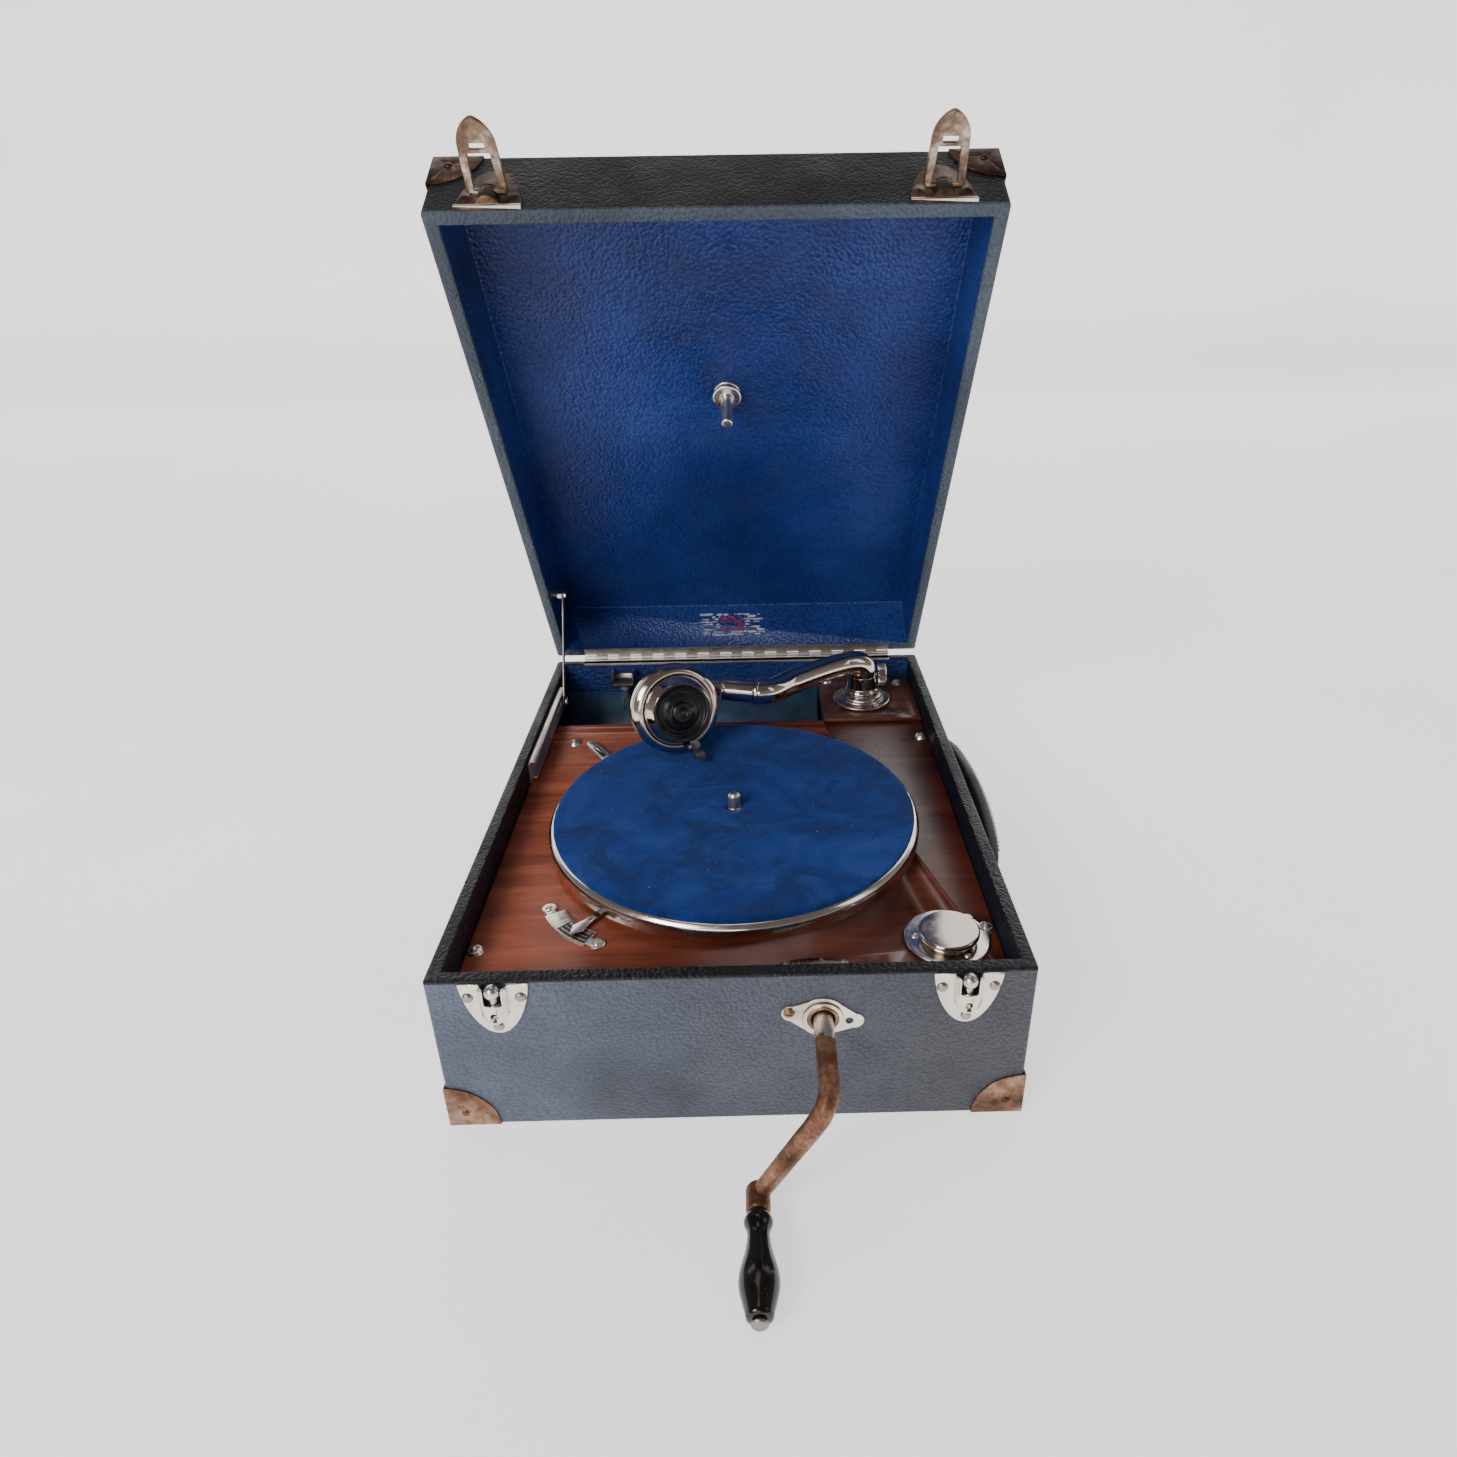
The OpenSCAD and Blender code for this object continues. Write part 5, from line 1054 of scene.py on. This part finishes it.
# rivet domes, collar round the crank hole, and a disc of painted shade at the back of the hole
bm = bmesh.new()
dome = fillet([(0.0027, 0), (0.0026, 0.0006), (0.0021, 0.0013), (0.0012, 0.0018), (0, 0.0019)],
              0.0004, 3)
for x in lock_x:
    for dx, z in RIVETS:
        turned(bm, dome, frame_at(Vector((x + dx, lp_lo_y, z)), -Y_AXIS), 40)
add("lock_rivets_domed", bm, "rivet", "base", outward=False)
bm = bmesh.new()
hole = frame_at(Vector((crank_x, -HD - 0.001, crank_z)), -Y_AXIS)
turned(bm, fillet([(0.0057, -0.004), (0.0057, 0.0013), (0.0063, 0.0017), (0.007, 0.0017),
                   (0.0075, 0.0012), (0.0078, 0.0006), (0.0083, 0.001), (0.0089, 0.0012),
                   (0.0094, 0.0009), (0.0097, 0.0003)], 0.0002, 3), hole, 96)
# painted shade: a near-black disc closing the back of the crank hole
turned(bm, [(0.0056, -0.0035), (0, -0.0035)], hole, 48, mat=1)
add("crank_hole_collar", bm, ["copper_ring", "dark"], "base")
plate_y = min(v.co.y for v in NODES["escutcheon"].data.vertices if v.co.x > crank_x + 0.012)
tidy("escutcheon", ["nickel_worn", "copper_ring"], 0.0002,
     zone=lambda c, n: 1 if c.x < crank_x - 0.01 and c.y < plate_y - 0.00005 else 0)

# needle cup and its polished lid
zb = top
prof = [(0, cup_lo.z), (0.0118, cup_lo.z), (0.012, cup_lo.z + 0.001), (0.012, zb - 0.0002),
        (0.022, zb), (0.022, zb + 0.0006), (0.021, zb + 0.001), (0.0136, zb + 0.0011),
        (0.013, zb + 0.0018), (0.013, zb + 0.003), (0.0124, zb + 0.0036), (0.0114, zb + 0.0036),
        (0.011, zb + 0.003), (0.0108, cup_lo.z + 0.003), (0.0085, cup_lo.z + 0.0012),
        (0, cup_lo.z + 0.001)]
spun("needle_cup_spun", prof, 0.0004, shift((cup_c.x, cup_c.y, 0)), 128, "nickel", "base",
     "needle_cup")

cl_lo, cl_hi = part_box("cup_lid")
LR = 0.0154
lc = Vector((cl_lo.x + LR, cl_lo.y + LR, 0))
pin = joint_at("cup_cover_swing")
pin.z = 0
bm = bmesh.new()
zl = cl_hi.z
prof = [(0, zb + 0.0039), (LR - 0.0012, zb + 0.0039), (LR - 0.0004, zb + 0.0042),
        (LR, zb + 0.0052), (LR - 0.0001, zb + 0.0061), (LR - 0.0005, zb + 0.0066),
        (LR - 0.0011, zl), (0.008, zl - 0.00005), (0, zl - 0.0001)]
turned(bm, fillet(prof, 0.0003, 4), shift(lc), 160)
turned(bm, fillet([(0, zb - 0.004), (0.0015, zb - 0.004), (0.0015, zb + 0.0038),
                   (0.003, zb + 0.0039), (0.003, zb + 0.005), (0, zb + 0.0051)], 0.0002, 2),
       shift(pin), 48)
arm = lc - pin
slab(bm, (0, -0.0026, 0.0039), (0.012, 0.0026, 0.0051), 0.0003, 2,
     shift(pin + Vector((0, 0, zb))) @ Matrix.Rotation(math.atan2(arm.y, arm.x), 4, "Z"))
for v in bm.verts:
    if v.co.z > zb + 0.0055:
        v.co.z += 0.042 * (v.co.x - lc.x)
add("cup_lid_polished", bm, "nickel_arm", "cup_cover", "cup_lid", sharp=60)

# worn transfer on the lid: rows of rubbed specks
bm = bmesh.new()
for i in range(150):
    x = -0.0279 + 0.0495 * RNG.random()
    z = LID_LOW + 0.0127 + 0.0226 * (RNG.randint(0, 8) + 0.3 * RNG.random()) / 9
    if RNG.random() < 0.22:
        continue
    w, h = RNG.uniform(0.0006, 0.0034), RNG.uniform(0.0004, 0.0013)
    mark = 1 if abs(x + 0.004) < 0.009 and abs(z - LID_LOW - 0.024) < 0.007 else 0
    n = 8
    y = HD - WALL - 0.00012 - 0.00002 * (i % 5)
    ring = []
    for k in range(n):
        a = 2 * math.pi * k / n
        r = 1 + 0.45 * noise.noise(Vector((i * 3.1, k * 1.7, 0)))
        p = Vector((x + w * r * math.cos(a), y, z + h * r * math.sin(a)))
        ring.append(bm.verts.new(LID @ p))
    bm.faces.new(ring).material_index = mark
add("lid_label_worn", bm, ["label", "label_mark"], "lid", outward=False)

# enamelled field and plain ticks on the speed plate
hub = joint_at("speed_set")
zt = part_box("speed_plate")[1].z


def arc(bm, r0, r1, a0, a1, z, mat, steps=24):
    """Thin raised patch between two radii about the lever's hub."""
    low = []
    for i in range(steps + 1):
        a = math.radians(a0 + (a1 - a0) * i / steps)
        d = Vector((math.cos(a), math.sin(a), 0))
        low.append([bm.verts.new(Vector((hub.x, hub.y, 0)) + d * r + Vector((0, 0, h)))
                    for r, h in ((r0, z - 0.0002), (r0 + 0.0001, z), (r1 - 0.0001, z),
                                 (r1, z - 0.0002))])
    for a, b in zip(low, low[1:]):
        for k in range(3):
            bm.faces.new([a[k], b[k], b[k + 1], a[k + 1]]).material_index = mat
    for e, q in ((low[0], 1), (low[-1], -1)):
        bm.faces.new(e[::q]).material_index = mat


FIRST_MARK, MARK_STEP, MARKS = 222.5, 1.06, 19    # degrees about the lever's hub
bm = bmesh.new()
arc(bm, 0.0438, 0.0528, 221, 243, zt + 0.00012, 0)
for i in range(MARKS):
    a = FIRST_MARK + i * MARK_STEP
    arc(bm, 0.0446 if i % 3 else 0.0442, 0.0462, a, a + 0.42, zt + 0.00022, 1, 2)
    if i % 2:
        arc(bm, 0.048, 0.0486, a - 0.5, a + 0.7, zt + 0.00022, 1, 2)
    arc(bm, 0.0505, 0.0512, a, a + 0.8, zt + 0.00022, 1, 2)
add("speed_plate_enamel", bm, ["enamel", "nickel_worn"], "base", sharp=40)

# ---- stage
FLOOR_GLOW = 1.15       # lifts the paper to white
WORLD_LIGHT = 0.62
FRONT, BACK, TOP, SIDE, BEND = -3.0, 2.2, 3.4, 4, 0.5
bm = bmesh.new()
prof = [(FRONT, 0.0), (1.6, 0.0), (BACK, 0.0), (BACK, 0.9), (BACK, TOP)]
prof = fillet(prof, [0, 0, BEND, 0, 0], 16)
cols = []
for y, z in prof:
    cols.append([bm.verts.new((x, y, z)) for x in (-SIDE, SIDE)])
for a, b in zip(cols, cols[1:]):
    bm.faces.new([a[0], a[1], b[1], b[0]])
for f in bm.faces:
    f.smooth = True
me = bpy.data.meshes.new("floor")
bm.to_mesh(me)
bm.free()
floor = bpy.data.objects.new("floor", me)
fm = Mat("floor_paper", rough=0.7)
paper = fm.ramp(fm.noise(3), (0.3, (0.86, 0.86, 0.86)), (0.7, (0.9, 0.9, 0.9)))
fm.colour(paper)
fm.feed("Emission Color", paper)
fm.feed("Emission Strength", FLOOR_GLOW)
me.materials.append(fm.m)
scene.collection.objects.link(floor)


def lamp(name, place, aim, size, watts, colour=(1, 1, 1)):
    d = bpy.data.lights.new(name, "AREA")
    d.energy = watts
    d.color = colour
    d.shape = "RECTANGLE"
    d.size, d.size_y = size
    o = bpy.data.objects.new(name, d)
    o.location = place
    o.rotation_euler = (Vector(aim) - Vector(place)).to_track_quat("-Z", "Y").to_euler()
    scene.collection.objects.link(o)


lamp("key", (-1.0, -1.3, 1.15), (0, 0, 0.12), (0.7, 0.7), 20, (1, 0.985, 0.96))
lamp("front", (-0.5, -2.4, 0.7), (0, 0, 0.15), (1.4, 0.7), 10, (0.97, 0.98, 1))
lamp("side", (1.7, -0.5, 1.1), (0, 0, 0.1), (0.5, 1.0), 2, (0.96, 0.97, 1))
lamp("top", (-0.2, 0.3, 2.2), (0, 0.2, 0), (1.0, 0.8), 3)
world = bpy.data.worlds.new("studio")
scene.world = world
world.use_nodes = True
wt = world.node_tree
sky = wt.nodes.new("ShaderNodeTexGradient")
tc = wt.nodes.new("ShaderNodeTexCoord")
turn = wt.nodes.new("ShaderNodeMapping")
turn.inputs["Rotation"].default_value = (0, math.radians(90), 0)
shade = wt.nodes.new("ShaderNodeValToRGB")
shade.color_ramp.elements[0].color = (0.5, 0.47, 0.44, 1)
shade.color_ramp.elements[1].color = (0.2, 0.17, 0.155, 1)
shade.color_ramp.elements[1].position = 0.6
wt.links.new(tc.outputs["Generated"], turn.inputs[0])
wt.links.new(turn.outputs[0], sky.inputs[0])
wt.links.new(sky.outputs["Fac"], shade.inputs[0])
wt.links.new(shade.outputs[0], wt.nodes["Background"].inputs[0])
wt.nodes["Background"].inputs[1].default_value = WORLD_LIGHT
